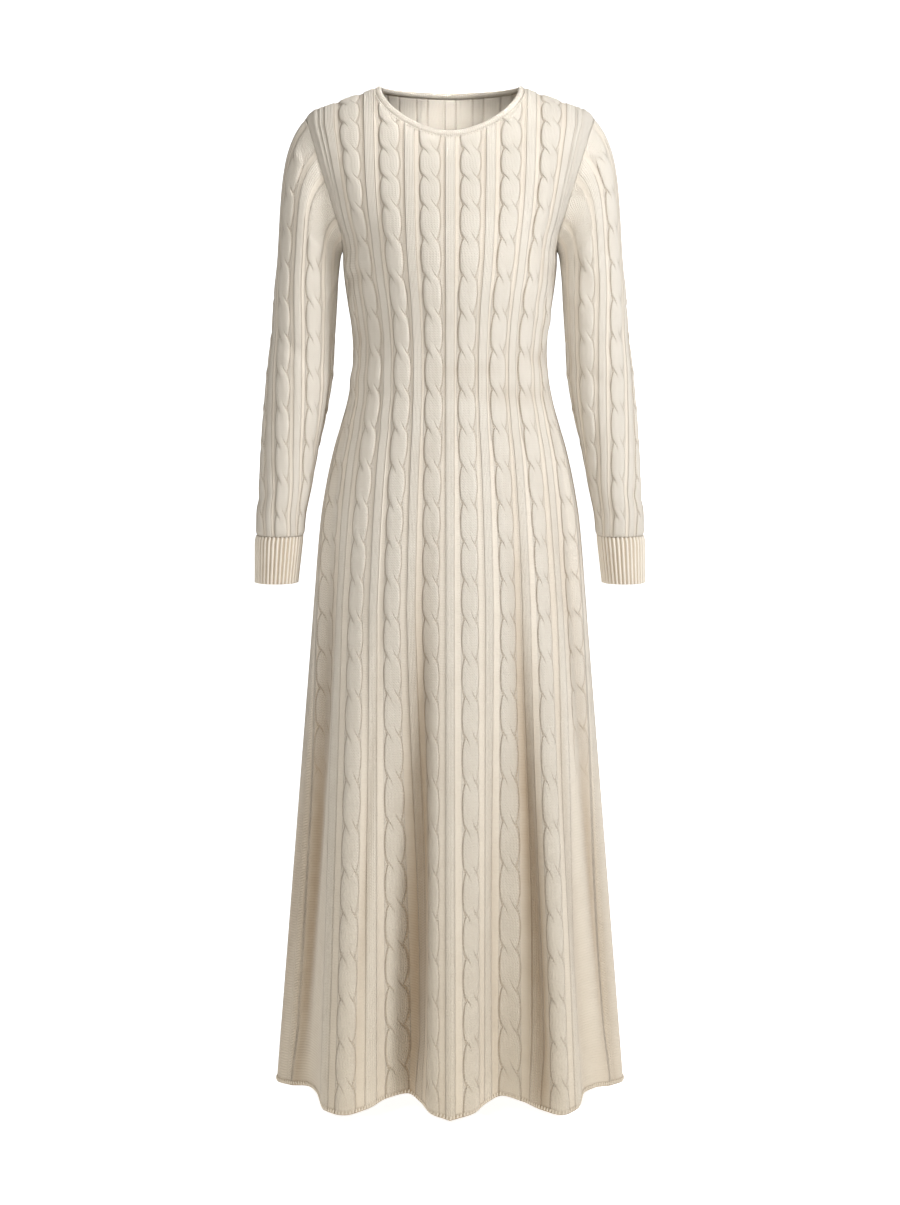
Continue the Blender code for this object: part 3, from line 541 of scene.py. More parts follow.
def wale_angle(side, height, back):
    heights, fine, angles = ANGLES[back]
    row = np.clip((height - heights[0]) / (heights[1] - heights[0]), 0, len(heights) - 1.001)
    column = np.clip(side / fine[1], 0, len(fine) - 1.001)
    i, j = row.astype(int), column.astype(int)
    u, v = row - i, column - j
    low = angles[i, j] * (1 - v) + angles[i, j + 1] * v
    high = angles[i + 1, j] * (1 - v) + angles[i + 1, j + 1] * v
    return low * (1 - u) + high * u


def face_depth(across, height, back):
    """Distance of the plain face from the shoulder line's plane."""
    share = 1 - (across / half_width(height, back)) ** 2
    return depth_at(height, back) * np.sqrt(np.maximum(share, 0) * rounding(across, height))


def body_points(wale, height):
    """Points of the plain outer face between the hip and the shoulder line."""
    wale, height = np.broadcast_arrays(np.asarray(wale, float), np.asarray(height, float))
    side, behind, sign = side_of(wale)
    points = np.zeros(wale.shape + (3,))
    for back in (False, True):
        angle = wale_angle(side, height, back)
        x = sign * half_width(height, back) * np.sin(angle)
        y = depth_at(height, back) * np.cos(angle) * np.sqrt(rounding(x, height))
        here = np.stack([x, y if back else -y, height], -1)
        points = np.where((behind == back)[..., None], here, points)
    return points


def skirt_points(wale, height):
    """Points on the straight line from the hip to the hem that each wale follows."""
    at = np.asarray(wale, float) % WALES_ROUND
    folds = (FOLD_ACROSS, FOLD_FORWARD, FOLD_RISE)
    across, forward, rise = (smooth(at, FOLD_WALE, column) for column in folds)
    hem = np.stack([across, -forward, HEM + rise], -1)
    hip = body_points(wale, np.full(np.shape(at), HIP))
    down = ((HIP - np.asarray(height, float)) / (HIP - HEM))[..., None]
    return hip * (1 - down) + hem * down


def face_points(wale, height):
    low = np.asarray(height)[..., None] < HIP
    return np.where(low, skirt_points(wale, height), body_points(wale, np.maximum(height, HIP)))


def unit(vectors):
    return vectors / np.linalg.norm(vectors, axis=-1, keepdims=True)


def body_normals(points):
    """Directions out of the plain face, from the slopes of the equation that it solves."""
    x, y, z = np.moveaxis(points, -1, 0)
    step = NORMAL_STEP
    low = np.minimum(z, ridge_height(x) - step)
    normals = []
    for back in (False, True):

        def inside(across, height):
            share = 1 - (across / half_width(height, back)) ** 2
            return share * rounding(across, height) - (y / depth_at(height, back)) ** 2

        slope_x = (inside(x + step, low) - inside(x - step, low)) / (2 * step)
        slope_z = (inside(x, low) - inside(x, low - step)) / step
        slope_y = -2 * y / depth_at(z, back) ** 2
        normals.append(unit(-np.stack([slope_x, slope_y, slope_z], -1)))
    return np.where((y > 0)[..., None], normals[1], normals[0])


def skirt_normals(wale, height):
    step = 0.02
    along = skirt_points(wale + step, height) - skirt_points(wale - step, height)
    up = skirt_points(wale, height + step) - skirt_points(wale, height - step)
    return unit(np.cross(along, up))


def face_normals(wale, height, points):
    low = np.asarray(height)[..., None] < HIP + 1e-6
    return np.where(low, skirt_normals(wale, np.minimum(height, HIP)), body_normals(points))


def neck_height(across, back, below):
    """Height of the neck edge at a distance from the centre, a little below the band's top."""
    wide = NECK_HALF_WIDTH + below
    side = ridge_height(wide)
    drop = (BACK_NECK_DROP if back else FRONT_NECK_DROP) + below
    share = np.minimum(np.abs(across) / wide, 1)
    curve = (1 - share**NECK_ROUNDNESS) ** (1 / NECK_ROUNDNESS)
    return np.where(share < 1, side - (drop + side) * curve, 1.0)


def tops(wales):
    """Heights at which wales end: at the neck edge, the shoulder line or under the arm."""
    wales = np.asarray(wales, float)
    side, behind, _ = side_of(wales)
    low = np.full(wales.shape, UNDERARM_LEVEL)
    high = np.zeros(wales.shape)
    for _ in range(40):
        middle = (low + high) / 2
        x, y, _ = np.moveaxis(body_points(wales, middle), -1, 0)
        share = np.sqrt(np.maximum(0, 1 - (y / ARMHOLE_HALF_DEPTH) ** 2))
        neck = [neck_height(x, back, NECKBAND_HEIGHT + SEAM_GAP) for back in (False, True)]
        edge = np.minimum(ridge_height(x), np.where(behind, neck[1], neck[0]))
        edge = np.where(side > ARMHOLE_WALE, ARMHOLE_MIDDLE - share * ARMHOLE_REACH, edge)
        inside = middle < edge
        low, high = np.where(inside, middle, low), np.where(inside, high, middle)
    return np.where(np.abs(side - ARMHOLE_WALE) < 1e-6, ARMHOLE_TOP, low)


def links_along(heights, steps):
    """Links counted along a line from its heights and the lengths of the steps between them."""
    link_z, length = columns_of(LINKS)
    links = steps / np.interp((heights[:-1] + heights[1:]) / 2, link_z, length)
    return np.concatenate([[0], np.cumsum(links)])


def half_links():
    """Counts and heights of the half links from the hem up to the underarm level."""
    heights = np.linspace(UNDERARM_LEVEL, HEM, 1001)
    links = -links_along(heights, -np.diff(heights))
    counts = -0.5 * np.arange(math.ceil(-2 * links[-1]))
    counts = np.append(counts[counts > links[-1] + LEAST_ROW], links[-1])[::-1]
    return counts, np.interp(counts, links[::-1], heights[::-1])


def armhole_frame(sign):
    """Directions up the armhole's plane and out of it, towards the sleeve."""
    up = unit(np.array([sign * (EDGE_WIDTH[-1] - EDGE_WIDTH[0]), 0, ARMHOLE_TOP - ARMHOLE_BOTTOM]))
    return up, np.array([sign * up[2], 0, -sign * up[0]])


def armhole_outward(points, sign):
    """Direction away from the middle of the armhole at points of its edge."""
    up, _ = armhole_frame(sign)
    rise = (points[..., 2:] - ARMHOLE_MIDDLE) / ARMHOLE_REACH
    return unit(rise * up + points[..., 1:2] / ARMHOLE_HALF_DEPTH * np.array([0, 1, 0]))


def neck_wale(back):
    """The wale that meets the corner between the neck and the shoulder line."""
    wide = NECK_HALF_WIDTH + NECKBAND_HEIGHT + SEAM_GAP
    height = float(ridge_height(wide))
    wales = np.linspace(1, 3, 201)
    across = half_width(height, back) * np.sin(wale_angle(wales, np.full(201, height), back))
    return float(np.interp(wide, across, wales))


def sleeve_points(turn, ring, sign):
    """Points of the sleeve's plain face: turn in degrees from its outer line, ring down from 0."""
    index = np.arange(len(SLEEVE_RINGS))
    columns = columns_of(SLEEVE_RINGS)
    out_x, out_z, in_x, in_z, deep, forward = (smooth(ring, index, column) for column in columns)
    angle = np.radians(turn)
    share = (1 + np.cos(angle)) / 2
    x = in_x + (out_x - in_x) * share
    z = in_z + (out_z - in_z) * share
    first = ARMHOLE_MIDDLE + ARMHOLE_REACH * np.cos(angle)
    chord = EDGE_WIDTH[0] + (EDGE_WIDTH[-1] - EDGE_WIDTH[0]) * share
    bulge = smooth(first, EDGE_Z, EDGE_WIDTH) - chord
    x = x + bulge * np.clip(1 - ring / ARMHOLE_FADE, 0, 1) ** 2
    return np.stack([sign * x, -forward - deep * np.sin(angle), z], -1)


def sleeve_normals(turn, ring, sign):
    ahead = sleeve_points(turn + 1, ring, sign) - sleeve_points(turn - 1, ring, sign)
    down = sleeve_points(turn, ring + 0.05, sign) - sleeve_points(turn, ring - 0.05, sign)
    return unit(np.cross(ahead, down)) * sign


def near_body_fade(turn, ring):
    """0 on the side of the sleeve that faces the body near the underarm, and 1 elsewhere."""
    start, end = BODY_SIDE
    first, last = BODY_SIDE_RINGS
    facing = np.clip((-np.cos(np.radians(turn)) - start) / (end - start), 0, 1)
    return 1 - facing * np.clip((last - ring) / (last - first), 0, 1)


CROSS_COUNT, CROSS_Z = half_links()


# Knitted relief


def ease(share):
    share = np.clip(share, 0, 1)
    return share * share * (3 - 2 * share)


def cable(across, count, knit):
    """Height and stitch place over a two strand cable whose edges are at -1 and 1."""
    past = count - np.round(count)
    near = np.exp(-((past / knit.crossing) ** 2))
    outline = 1 - knit.pinch * np.exp(-np.abs(past) / PINCH_REACH)
    across = across + 0 * past
    body = np.clip(1 - np.abs(across / outline) ** 3, 0, 1) ** BODY_POWER
    swing = np.tanh(past / knit.crossing) / math.tanh(0.5 / knit.crossing)
    off = (across + OVER_SHIFT * swing) / OVER_HALF
    over = np.clip(1 - off**4, 0, 1) ** 0.5
    valley = VALLEY * np.exp(-((across / VALLEY_HALF) ** 2)) * (1 - near)
    height = knit.strand_height * body * (1 - knit.under_drop * near - valley)
    lifted = (knit.strand_height + knit.crossing_lift * near) * over * body**0.5
    on_over = near * (over > 0)
    height = height + np.maximum(lifted - height, 0) * on_over
    return height, (across + 0.5 * swing * near) * STRAND_STITCHES


def rib(off, half, edge=RIB_EDGE):
    """1 on a flat band of this half width and 0 outside, with a soft edge."""
    return ease((half + edge - np.abs(off)) / edge)


def body_knit(offset, count, height, knit):
    """Height, stitch place, purl, painted shade, wale, cable half width and strength on a panel's
    face.
    """
    widths = (CABLE_WIDTH, RIB_WIDTH, CABLE_TALL)
    cable_half, rib_half, tall = (smooth(height, CABLE_Z, width) for width in widths)
    side, turned = np.abs(offset), np.sign(offset)
    inside = offset - np.floor(offset) - 0.5
    off = offset - np.round(offset)
    rise, place = cable(inside / cable_half, count, knit)
    on_cable = np.abs(inside) < cable_half * ON_CABLE
    band = rib(off, rib_half)
    rise = np.where(on_cable, rise * tall, knit.rib_height * tall * band)
    place = np.where(on_cable, place, off * RIB_STITCHES / (2 * rib_half))
    purl = np.where(on_cable, 0, 1 - band)

    low = ease((SIDE_CABLE_TOP - count) / 0.5)
    shown = low * ease((count - SIDE_CABLE_FOOT) / SIDE_CABLE_FADE)
    wide = ease((SIDE_SECOND_TOP - count) / 2)
    lines = np.maximum(*(rib(side - at, half, 0.02) for at, half in SIDE_LINES)) * (1 - low)
    lines = np.maximum(lines, rib(side - SIDE_RIB, SIDE_RIB_HALF, 0.03) * low)
    flank, flank_place = 0, side * SIDE_STITCHES
    for at, half, share in (
        (SIDE_SECOND, SIDE_SECOND_HALF, wide * shown),
        (SIDE_CABLE, SIDE_CABLE_HALF, shown),
    ):
        on_this = np.abs(side - at) < half
        up, stitch = cable(turned * (side - at) / half, count, knit)
        flank = np.where(on_this, up * share, flank)
        flank_place = np.where(on_this, stitch, flank_place)
    flank = np.maximum(flank * tall, knit.rib_height * tall * lines)

    beside = side > LAST_RIB + rib_half + SIDE_GAP
    rise = np.where(beside, flank, rise)
    place = np.where(beside, flank_place, place)
    flat = np.clip(1 - flank / (0.3 * knit.strand_height), 0, 1)
    purl = np.where(beside, flat * low, purl)
    # Painted shade: full where the cloth lies low between cables and ribs, gone halfway up a strand
    hollow = np.clip(1 - rise / (0.5 * knit.strand_height * tall), 0, 1)
    hollow = hollow * np.where(beside, low, 1) * tall**2
    from_side = (side - SIDE_CABLE) / SIDE_CABLE_HALF
    by_side = np.abs(from_side) < SIDE_CABLE_REACH
    half = np.where(beside, cable_half * by_side, cable_half)
    own_wale = turned * (LAST_RIB + 0.5 + from_side * cable_half)
    wale = np.where(beside & by_side, own_wale, offset)
    return rise, place, purl, hollow, wale, half, np.where(beside, shown, 1)


def creased(across, along, creases):
    """Sum of soft troughs and ridges, each laid along its own leaning line."""
    total = np.zeros(across.shape)
    for at, level, lean, length, width, depth in creases:
        right, up = across - at, along - level
        angle = math.radians(lean)
        run = right * math.sin(angle) + up * math.cos(angle)
        off = right * math.cos(angle) - up * math.sin(angle)
        total += depth * np.exp(-((off / width) ** 2)) * np.exp(-((run / length) ** 2))
    return total


# Meshes


def placed(name, data):
    """A new object of this data, in the scene."""
    made = bpy.data.objects.new(name, data)
    bpy.context.scene.collection.objects.link(made)
    return made


class Shell:
    """A closed wall built from numbered points, faces and values for its stitches."""

    def __init__(self):
        self.points, self.values, self.faces, self.count = [], [], [], 0

    def grid(self, points, place, course, purl, hollow, wale=0.0, link=0.5, half=0.0, strength=1.0):
        """Adds points in rows and columns and gives back their numbers."""
        shape = points.shape[:2]
        made = np.arange(shape[0] * shape[1]).reshape(shape) + self.count
        self.count += made.size
        self.points.append(points.reshape(-1, 3))
        told = (place, course, purl, hollow, wale, link, half, strength)
        rows = [np.broadcast_to(v, shape).reshape(-1) for v in told]
        self.values.append(np.stack(rows, -1))
        return made

    def fill(self, made, flip=False):
        """Faces between neighbouring rows and columns."""
        quads = np.stack([made[:-1, :-1], made[:-1, 1:], made[1:, 1:], made[1:, :-1]], -1)
        quads = quads.reshape(-1, 4)
        self.faces += (quads[:, ::-1] if flip else quads).tolist()

    def bridge(self, first, second, flip=False):
        """Faces between two lines of (place, number), matched by their places."""
        i = j = 0
        while i < len(first) - 1 or j < len(second) - 1:
            ahead_i = first[i + 1][0] if i < len(first) - 1 else math.inf
            ahead_j = second[j + 1][0] if j < len(second) - 1 else math.inf
            if abs(ahead_i - ahead_j) < 1e-6:
                face = [first[i][1], second[j][1], second[j + 1][1], first[i + 1][1]]
                i, j = i + 1, j + 1
            elif ahead_i < ahead_j:
                face = [first[i][1], second[j][1], first[i + 1][1]]
                i += 1
            else:
                face = [first[i][1], second[j][1], second[j + 1][1]]
                j += 1
            self.faces.append(face[::-1] if flip else face)

    def finish(self, name, material):
        """The object of the wall, with its stitches' values as maps and attributes."""
        data = bpy.data.meshes.new(name)
        data.from_pydata(np.concatenate(self.points).tolist(), [], self.faces)
        data.update()
        values = np.concatenate(self.values)
        corners = np.empty(len(data.loops), np.int32)
        data.loops.foreach_get("vertex_index", corners)
        spots = values[corners, 4:6]
        sizes = [len(face) for face in self.faces]
        starts = np.cumsum([0] + sizes[:-1])
        ends = (least.reduceat(spots[:, 0], starts) for least in (np.minimum, np.maximum))
        low, high = (np.repeat(end, sizes) for end in ends)
        across_seam = (high - low > SLEEVE_WALES / 2) & (spots[:, 0] < low + 1)
        spots[:, 0] += np.where(across_seam, SLEEVE_WALES, 0)
        for title, spot in (("knit", values[corners, :2]), ("wale", spots)):
            layer = data.uv_layers.new(name=title)
            layer.data.foreach_set("uv", spot.astype(np.float32).reshape(-1))
        for column, title in ((2, "purl"), (3, "hollow"), (6, "cable"), (7, "strength")):
            told = data.attributes.new(title, "FLOAT", "POINT")
            told.data.foreach_set("value", values[:, column].astype(np.float32))
        data.shade_smooth()
        data.materials.append(material)
        return placed(name, data)


def border_keys(rows, columns, first_row, left, right):
    """Row and column numbers round a panel: hem, side, armhole, shoulders, neck and back down."""
    top = rows[-1]
    upper = [r for r in rows if r > first_row]
    lower = [r for r in rows if 0 < r <= first_row]
    keys = [(0, c) for c in columns]
    keys += [(r, columns[-1]) for r in lower]
    keys += [(first_row, c) for c in columns[::-1] if right <= c < columns[-1]]
    keys += [(r, right) for r in upper]
    keys += [(top, c) for c in columns[::-1] if left <= c < right]
    keys += [(r, left) for r in upper[:-1][::-1]]
    keys += [(first_row, c) for c in columns[::-1] if columns[0] <= c <= left]
    keys += [(r, columns[0]) for r in lower[:-1][::-1]]
    return keys


def gathered(offset, height):
    """Offsets moved so that columns stay on the edges of the ribs and cables as those narrow."""
    side = np.abs(offset)
    rib_half, cable_half = (smooth(height, CABLE_Z, w) for w in (RIB_WIDTH, CABLE_WIDTH))
    part = side - np.floor(side)
    near = np.minimum(part, 1 - part)
    knots = (0, RIB_WIDTH[-1], RIB_WIDTH[-1] + RIB_EDGE, 0.5 - CABLE_WIDTH[-1], 0.5)
    moved_to = (0, rib_half, rib_half + RIB_EDGE, 0.5 - cable_half, 0.5)
    moved = near
    for low, high, new_low, new_high in zip(knots, knots[1:], moved_to, moved_to[1:]):
        here = (near >= low) & (near <= high)
        moved = np.where(here, new_low + (near - low) / (high - low) * (new_high - new_low), moved)
    moved = np.where(part > 0.5, 1 - moved, moved) + np.floor(side)
    eased = side + (rib_half - RIB_WIDTH[-1]) * ease((3.3 - side) / 0.2)
    flank = np.where(side < LAST_RIB + knots[2], moved, eased)
    return np.where(side > LAST_RIB, flank, moved) * np.sign(offset)


def panel_offsets(back):
    """Wales of the fine columns, with one on the neck corner and one on the armhole."""
    wale = np.concatenate([COLUMN_PLACES, 1 - COLUMN_PLACES[-2:0:-1]])
    half = np.concatenate([wale + k for k in range(4)] + [[4.0]])[1:]
    for fixed in (neck_wale(back), ARMHOLE_WALE):
        half[np.argmin(np.abs(half - fixed))] = fixed
    return np.concatenate([-half[::-1], [0.0], half])


def panel_rows(offsets, back):
    """Counts and heights of every fine row and column, and the row under the arms."""
    wales = offsets + (8 if back else 0)
    ends = tops(wales)
    low = np.linspace(CROSS_COUNT[0], CROSS_COUNT[-1], LOW_ROWS + 1)
    share = np.linspace(1, 0, 101) ** 2
    heights = ends[:, None] - (ends[:, None] - UNDERARM_LEVEL) * share
    points = body_points(wales[:, None] + np.zeros(101), heights)
    steps = np.linalg.norm(np.diff(points, axis=1), axis=2)
    counts = np.array([links_along(line, step) for line, step in zip(heights, steps)])
    beyond = np.abs(offsets) > ARMHOLE_WALE + 1e-6
    seam = int(np.argmin(np.abs(offsets - ARMHOLE_WALE)))
    corner = float(np.interp(ARMHOLE_CORNER, heights[seam], counts[seam]))
    turned = np.where(beyond, counts[:, -1], corner)
    middle = turned * np.linspace(0, 1, MIDDLE_ROWS + 1)[1:, None]
    upper = turned + (counts[:, -1] - turned) * np.linspace(0, 1, TOP_ROWS + 1)[1:, None]
    count = np.concatenate([np.repeat(low[:, None], len(offsets), axis=1), middle, upper])
    height = np.empty(count.shape)
    for k in range(len(offsets)):
        over = np.interp(count[:, k], counts[k], heights[k])
        under = np.interp(count[:, k], CROSS_COUNT, CROSS_Z)
        height[:, k] = np.where(count[:, k] > 0, over, under)
    return count, height, LOW_ROWS + MIDDLE_ROWS


def nearest(offsets, place):
    return int(np.argmin(np.abs(offsets - place)))


def half_gaps(wales, height):
    """Moves that open half the gap of a seam along the two sides of a panel."""
    moves = np.zeros(wales.shape + (3,))
    for column, step in ((0, 0.02), (-1, -0.02)):
        edge, level = wales[:, column], height[:, column]
        inwards = unit(face_points(edge + step, level) - face_points(edge - step, level))
        moves[:, column] = inwards * SEAM_GAP / 2
    return moves


def knitted_panel(name, back, knit, material):
    """A panel of cloth with its cables and ribs in relief on the outer face."""
    offsets = panel_offsets(back)
    count, height, turn_row = panel_rows(offsets, back)
    offset = gathered(np.broadcast_to(offsets, count.shape), height)
    wales = offset + (8 if back else 0)
    points = face_points(wales, height)
    normals = face_normals(wales, height, points)
    rise, place, purl, hollow, wale, half, strength = body_knit(offset, count, height, knit)

    side, up = np.abs(offset), count - count[0]
    last = len(count) - 1
    rows = np.arange(last + 1)[:, None]
    above = rows >= turn_row
    on_hole = above & (np.abs(side - ARMHOLE_WALE) < 1e-6)
    on_hole = on_hole | ((rows == turn_row) & (side > ARMHOLE_WALE))
    fade = ease((4 - side) / SIDE_FADE) * np.where(on_hole, 0, 1)
    fade = fade * ease((count[-1] - count + 0.02) / TOP_FADE) * ease(up / 0.1 + 0.3)
    by_hole = ease((ARMHOLE_WALE - side) / SIDE_FADE + 1 - above)
    fade = fade * np.where(side > 3.2, by_hole, 1)

    creases = creased(points[..., 0], height, BACK_CREASES if back else FRONT_CREASES)
    settled = ease(up / HEM_SETTLE) * np.where(on_hole | (side > 4 - SIDE_FADE), 0, 1)
    # Painted shade in the troughs of the creases, and in a band along the hem behind its stitches
    hollow = hollow + CREASE_SHADE * np.clip(-creases / DEEP_CREASE, 0, DEEPEST_SHADE)
    hollow = hollow + HEM_SHADE * (1 - ease((up - HEM_BAND) / 0.05))
    points = points + (creases * fade * settled)[..., None] * normals
    on_shoulder = (side >= neck_wale(back) - 1e-6) & (side <= ARMHOLE_WALE + 1e-6)
    gap = SEAM_GAP / 2 if back else -SEAM_GAP / 2
    points[..., 1] = np.where((rows == last) & on_shoulder, gap, points[..., 1])
    points = points + half_gaps(wales, height)
    radial = np.where(points[..., :1] < 0, *(armhole_outward(points, sign) for sign in (-1, 1)))
    radial[:, [0, -1], 1] = 0
    inner_points = points - WALL * np.where(on_hole[..., None], unit(radial), normals)
    outer_points = points + (rise * fade)[..., None] * normals

    shell = Shell()
    left, right = (nearest(offsets, sign * ARMHOLE_WALE) for sign in (-1, 1))
    part = slice(left, right + 1)
    course = count * knit.courses
    told = (outer_points, place, course, purl, hollow, wale, count, half, strength)
    outer = np.full(count.shape, -1)
    outer[: turn_row + 1] = shell.grid(*(values[: turn_row + 1] for values in told))
    outer[turn_row + 1 :, part] = shell.grid(*(values[turn_row + 1 :, part] for values in told))
    shell.fill(outer[: turn_row + 1])
    shell.fill(outer[turn_row:, part])

    low_rows = [*range(0, LOW_ROWS, INNER_ROW_STEP)]
    low_rows += [*range(LOW_ROWS, turn_row, MIDDLE_ROW_STEP), turn_row]
    high_rows = sorted({*range(turn_row, last, TOP_ROW_STEP), last - 1, last} - {turn_row})
    corners = {nearest(offsets, sign * neck_wale(back)) for sign in (-1, 1)}
    kept = {*range(0, len(offsets), INNER_COLUMN_STEP), left, right, len(offsets) - 1}
    kept = sorted(kept | corners)
    high_kept = [column for column in kept if left <= column <= right]
    inner = np.full(count.shape, -1)
    for at in (np.ix_(low_rows, kept), np.ix_(high_rows, high_kept)):
        inside_wale = offset[at] * INSIDE_WALES + 0.5 * back
        inner[at] = shell.grid(
            inner_points[at], place[at], course[at], 0.6, 0.0, inside_wale, 0.5, INSIDE_RIB
        )
    shell.fill(inner[np.ix_(low_rows, kept)], flip=True)
    shell.fill(inner[np.ix_([turn_row] + high_rows, high_kept)], flip=True)
    every = border_keys(list(range(last + 1)), list(range(len(offsets))), turn_row, left, right)
    some = border_keys(low_rows + high_rows, kept, turn_row, left, right)
    where = {key: n for n, key in enumerate(every)}
    borders = []
    for keys, numbers in ((every, outer), (some, inner)):
        line = [(where[key], int(numbers[key])) for key in keys]
        borders.append(line + [(len(every), line[0][1])])
    shell.bridge(*borders)
    return shell.finish(name, material)


def knitted_sleeve(name, sign, knit, material):
    """A sleeve of cloth with six cables round it."""
    last = len(SLEEVE_RINGS) - 1
    rings = np.linspace(0, last, SLEEVE_ROWS + 1)
    total = SLEEVE_WALES * SLEEVE_COLUMNS
    around = np.arange(total + 1) / SLEEVE_COLUMNS
    first = smooth(rings, *columns_of(SLEEVE_TURN))[:, None]
    turn = first + (around - 0.5) * 360 / SLEEVE_WALES
    ring = np.repeat(rings[:, None], len(around), axis=1)
    points = sleeve_points(turn, ring, sign)
    normals = sleeve_normals(turn, np.clip(ring, 0.02, last - 0.02), sign)
    steps = np.linalg.norm(np.diff(points[::-1], axis=0), axis=2)
    arc = np.concatenate([np.zeros((1, len(around))), np.cumsum(steps, axis=0)])[::-1]
    count = arc / SLEEVE_LINK + SLEEVE_PHASE

    inside = around - np.floor(around) - 0.5
    off = around - np.round(around)
    rise, place = cable(np.broadcast_to(-sign * inside / CABLE_HALF, count.shape), count, knit)
    on_cable = np.abs(inside) < CABLE_HALF * ON_CABLE
    band = rib(off, RIB_HALF)
    rise = np.where(on_cable, rise, knit.rib_height * band) * SLEEVE_TALL
    place = np.where(on_cable, place, off * RIB_STITCHES / (2 * RIB_HALF))
    purl = np.broadcast_to(np.where(on_cable, 0, 1 - band), count.shape)
    # Painted shade, as on the panels
    hollow = np.clip(1 - rise / (0.5 * knit.strand_height), 0, 1)
    by_body = near_body_fade(turn, ring)
    fade = ease(ring / RING_FADE) * ease((last - ring) / 0.2) * by_body

    _, away = armhole_frame(sign)
    points = points + away * SEAM_GAP * 1.3 * (1 - ease(ring / 0.3))[..., None]
    turned = (turn + 180) % 360 - 180
    creases = creased(turned / 360 * SLEEVE_ROUND, points[..., 2], SLEEVE_CREASES)
    creases = creases * ease(ring / 0.5) * ease((last - ring) / 0.5)
    points = points + creases[..., None] * normals
    blend = (1 - ease(ring / RING_FADE))[..., None]
    thick = unit(normals * (1 - blend) + armhole_outward(points[0], sign) * blend)
    start = SLEEVE_CABLE_START + SLEEVE_INNER_START * ease((np.abs(turned) - 62) / 30)
    started = ease((ring - start) / 0.5)
    rise = np.where(on_cable, rise * started, rise)
    strength = by_body * np.where(np.abs(inside) < 0.4, started, 1)

    shell = Shell()
    spots, halves = (np.broadcast_to(value, count.shape) for value in (-sign * around, CABLE_HALF))
    outer_points = points + (rise * fade)[..., None] * normals
    course = count * knit.courses
    told = (outer_points, place, course, purl, hollow, spots, count, halves, strength)
    outer = shell.grid(*(values[:, :-1] for values in told))
    kept_rows = [*range(0, SLEEVE_ROWS, SLEEVE_ROW_STEP), SLEEVE_ROWS]
    kept = list(range(0, total, INNER_COLUMN_STEP))
    at = np.ix_(kept_rows, kept)
    # The inside of the sleeve gets half the painted shade
    inner = shell.grid((points - WALL * thick)[at], place[at], course[at], 1 - purl[at], 0.5)
    flip = sign < 0
    shell.fill(np.concatenate([outer, outer[:, :1]], axis=1), flip=flip)
    shell.fill(np.concatenate([inner, inner[:, :1]], axis=1), flip=not flip)
    for row, turned_over in ((0, flip), (-1, not flip)):
        fine, plain = (
            [(column, int(number)) for column, number in zip([*columns, total], [*line, line[0]])]
            for columns, line in ((range(total), outer[row]), (kept, inner[row]))
        )
        shell.bridge(fine, plain, flip=turned_over)
    return shell.finish(name, material)


def lathe(shell, rings, courses):
    """Rows round a closed profile: rings[k] holds its k-th point all round."""
    # A fifth of the full painted shade all round, read only by the neckband's wool
    grid = shell.grid(np.stack(rings), np.arange(len(rings[0])) / 2.0, courses, 0.0, 0.2)
    wrapped = np.concatenate([grid, grid[:, :1]], axis=1)
    return np.concatenate([wrapped, wrapped[:1]])


def cuff_points(angle, height, sign, proud=0.0):
    """Points round a cuff, this far out of its plain face."""
    level, *columns = columns_of(CUFF_RINGS)
    out_x, in_x, deep, forward = (np.interp(-height, -level, column) for column in columns)
    x = (out_x + in_x) / 2 + ((out_x - in_x) / 2 + proud) * np.cos(angle)
    y = -forward - (deep + proud) * np.sin(angle)
    return np.stack([sign * x, y, np.full(len(angle), height)], -1)


def cuff_tube(name, sign, material):
    """The smooth tube under the ribs of a cuff, with a soft rolled end."""
    top, foot = CUFF_RINGS[0][0], CUFF_RINGS[-1][0]
    angle = 2 * math.pi * np.arange(CUFF_COLUMNS) / CUFF_COLUMNS
    levels = np.linspace(top, foot, CUFF_LEVELS)[1:-1]
    profile = [(top, -0.0004)] + [(z, -0.0002) for z in levels]
    profile += [(foot, -0.0006), (foot, 0.0004 - CUFF_WALL)]
    profile += [(z, -CUFF_WALL) for z in levels[::-2]] + [(top, -CUFF_WALL)]
    rings = [cuff_points(angle, z, sign, proud) for z, proud in profile]
    courses = np.array([[z * CUFF_COURSES] for z, _ in profile])
    shell = Shell()
    shell.fill(lathe(shell, rings, courses), flip=sign < 0)
    return shell.finish(name, material)


def line_object(name, points, edges):
    data = bpy.data.meshes.new(name)
    data.from_pydata(points.tolist(), edges, [])
    return placed(name, data)


def cuff_lines(name, sign):
    """Lines down the cuff that its ribs are knitted along."""
    angle = 2 * math.pi * (np.arange(CUFF_RIBS) + 0.5) / CUFF_RIBS
    heights = np.linspace(CUFF_RINGS[0][0] - 0.0001, CUFF_RINGS[-1][0] + 0.0006, RIB_POINTS)
    points = np.stack([cuff_points(angle, z, sign) for z in heights], axis=1).reshape(-1, 3)
    edges = [(n, n + 1) for n in range(len(points) - 1) if (n + 1) % RIB_POINTS]
    return line_object(name, points, edges)


def neck_ring(back):
    """Foot, top and outward direction of the neckband at even steps along one neck edge."""
    reach = neck_wale(back)
    wales = np.linspace(-reach, reach, NECK_COLUMNS + 1)
    places = wales + (8 if back else 0)
    low = body_points(places, tops(places))
    across = low[:, 0] * NECK_HALF_WIDTH / (NECK_HALF_WIDTH + NECKBAND_HEIGHT + SEAM_GAP)
    top = np.minimum(neck_height(across, back, 0.0), 0)
    depth = face_depth(across, top, back)
    high = np.stack([across, depth if back else -depth, top], -1)
    low[[0, -1], 1] = 0
    high[[0, -1], 1] = 0
    kept = slice(1, -1) if back else slice(None)
    return low[kept], high[kept], body_normals(low)[kept]


def neck_rings():
    return (np.concatenate(pair) for pair in zip(neck_ring(False), neck_ring(True)))


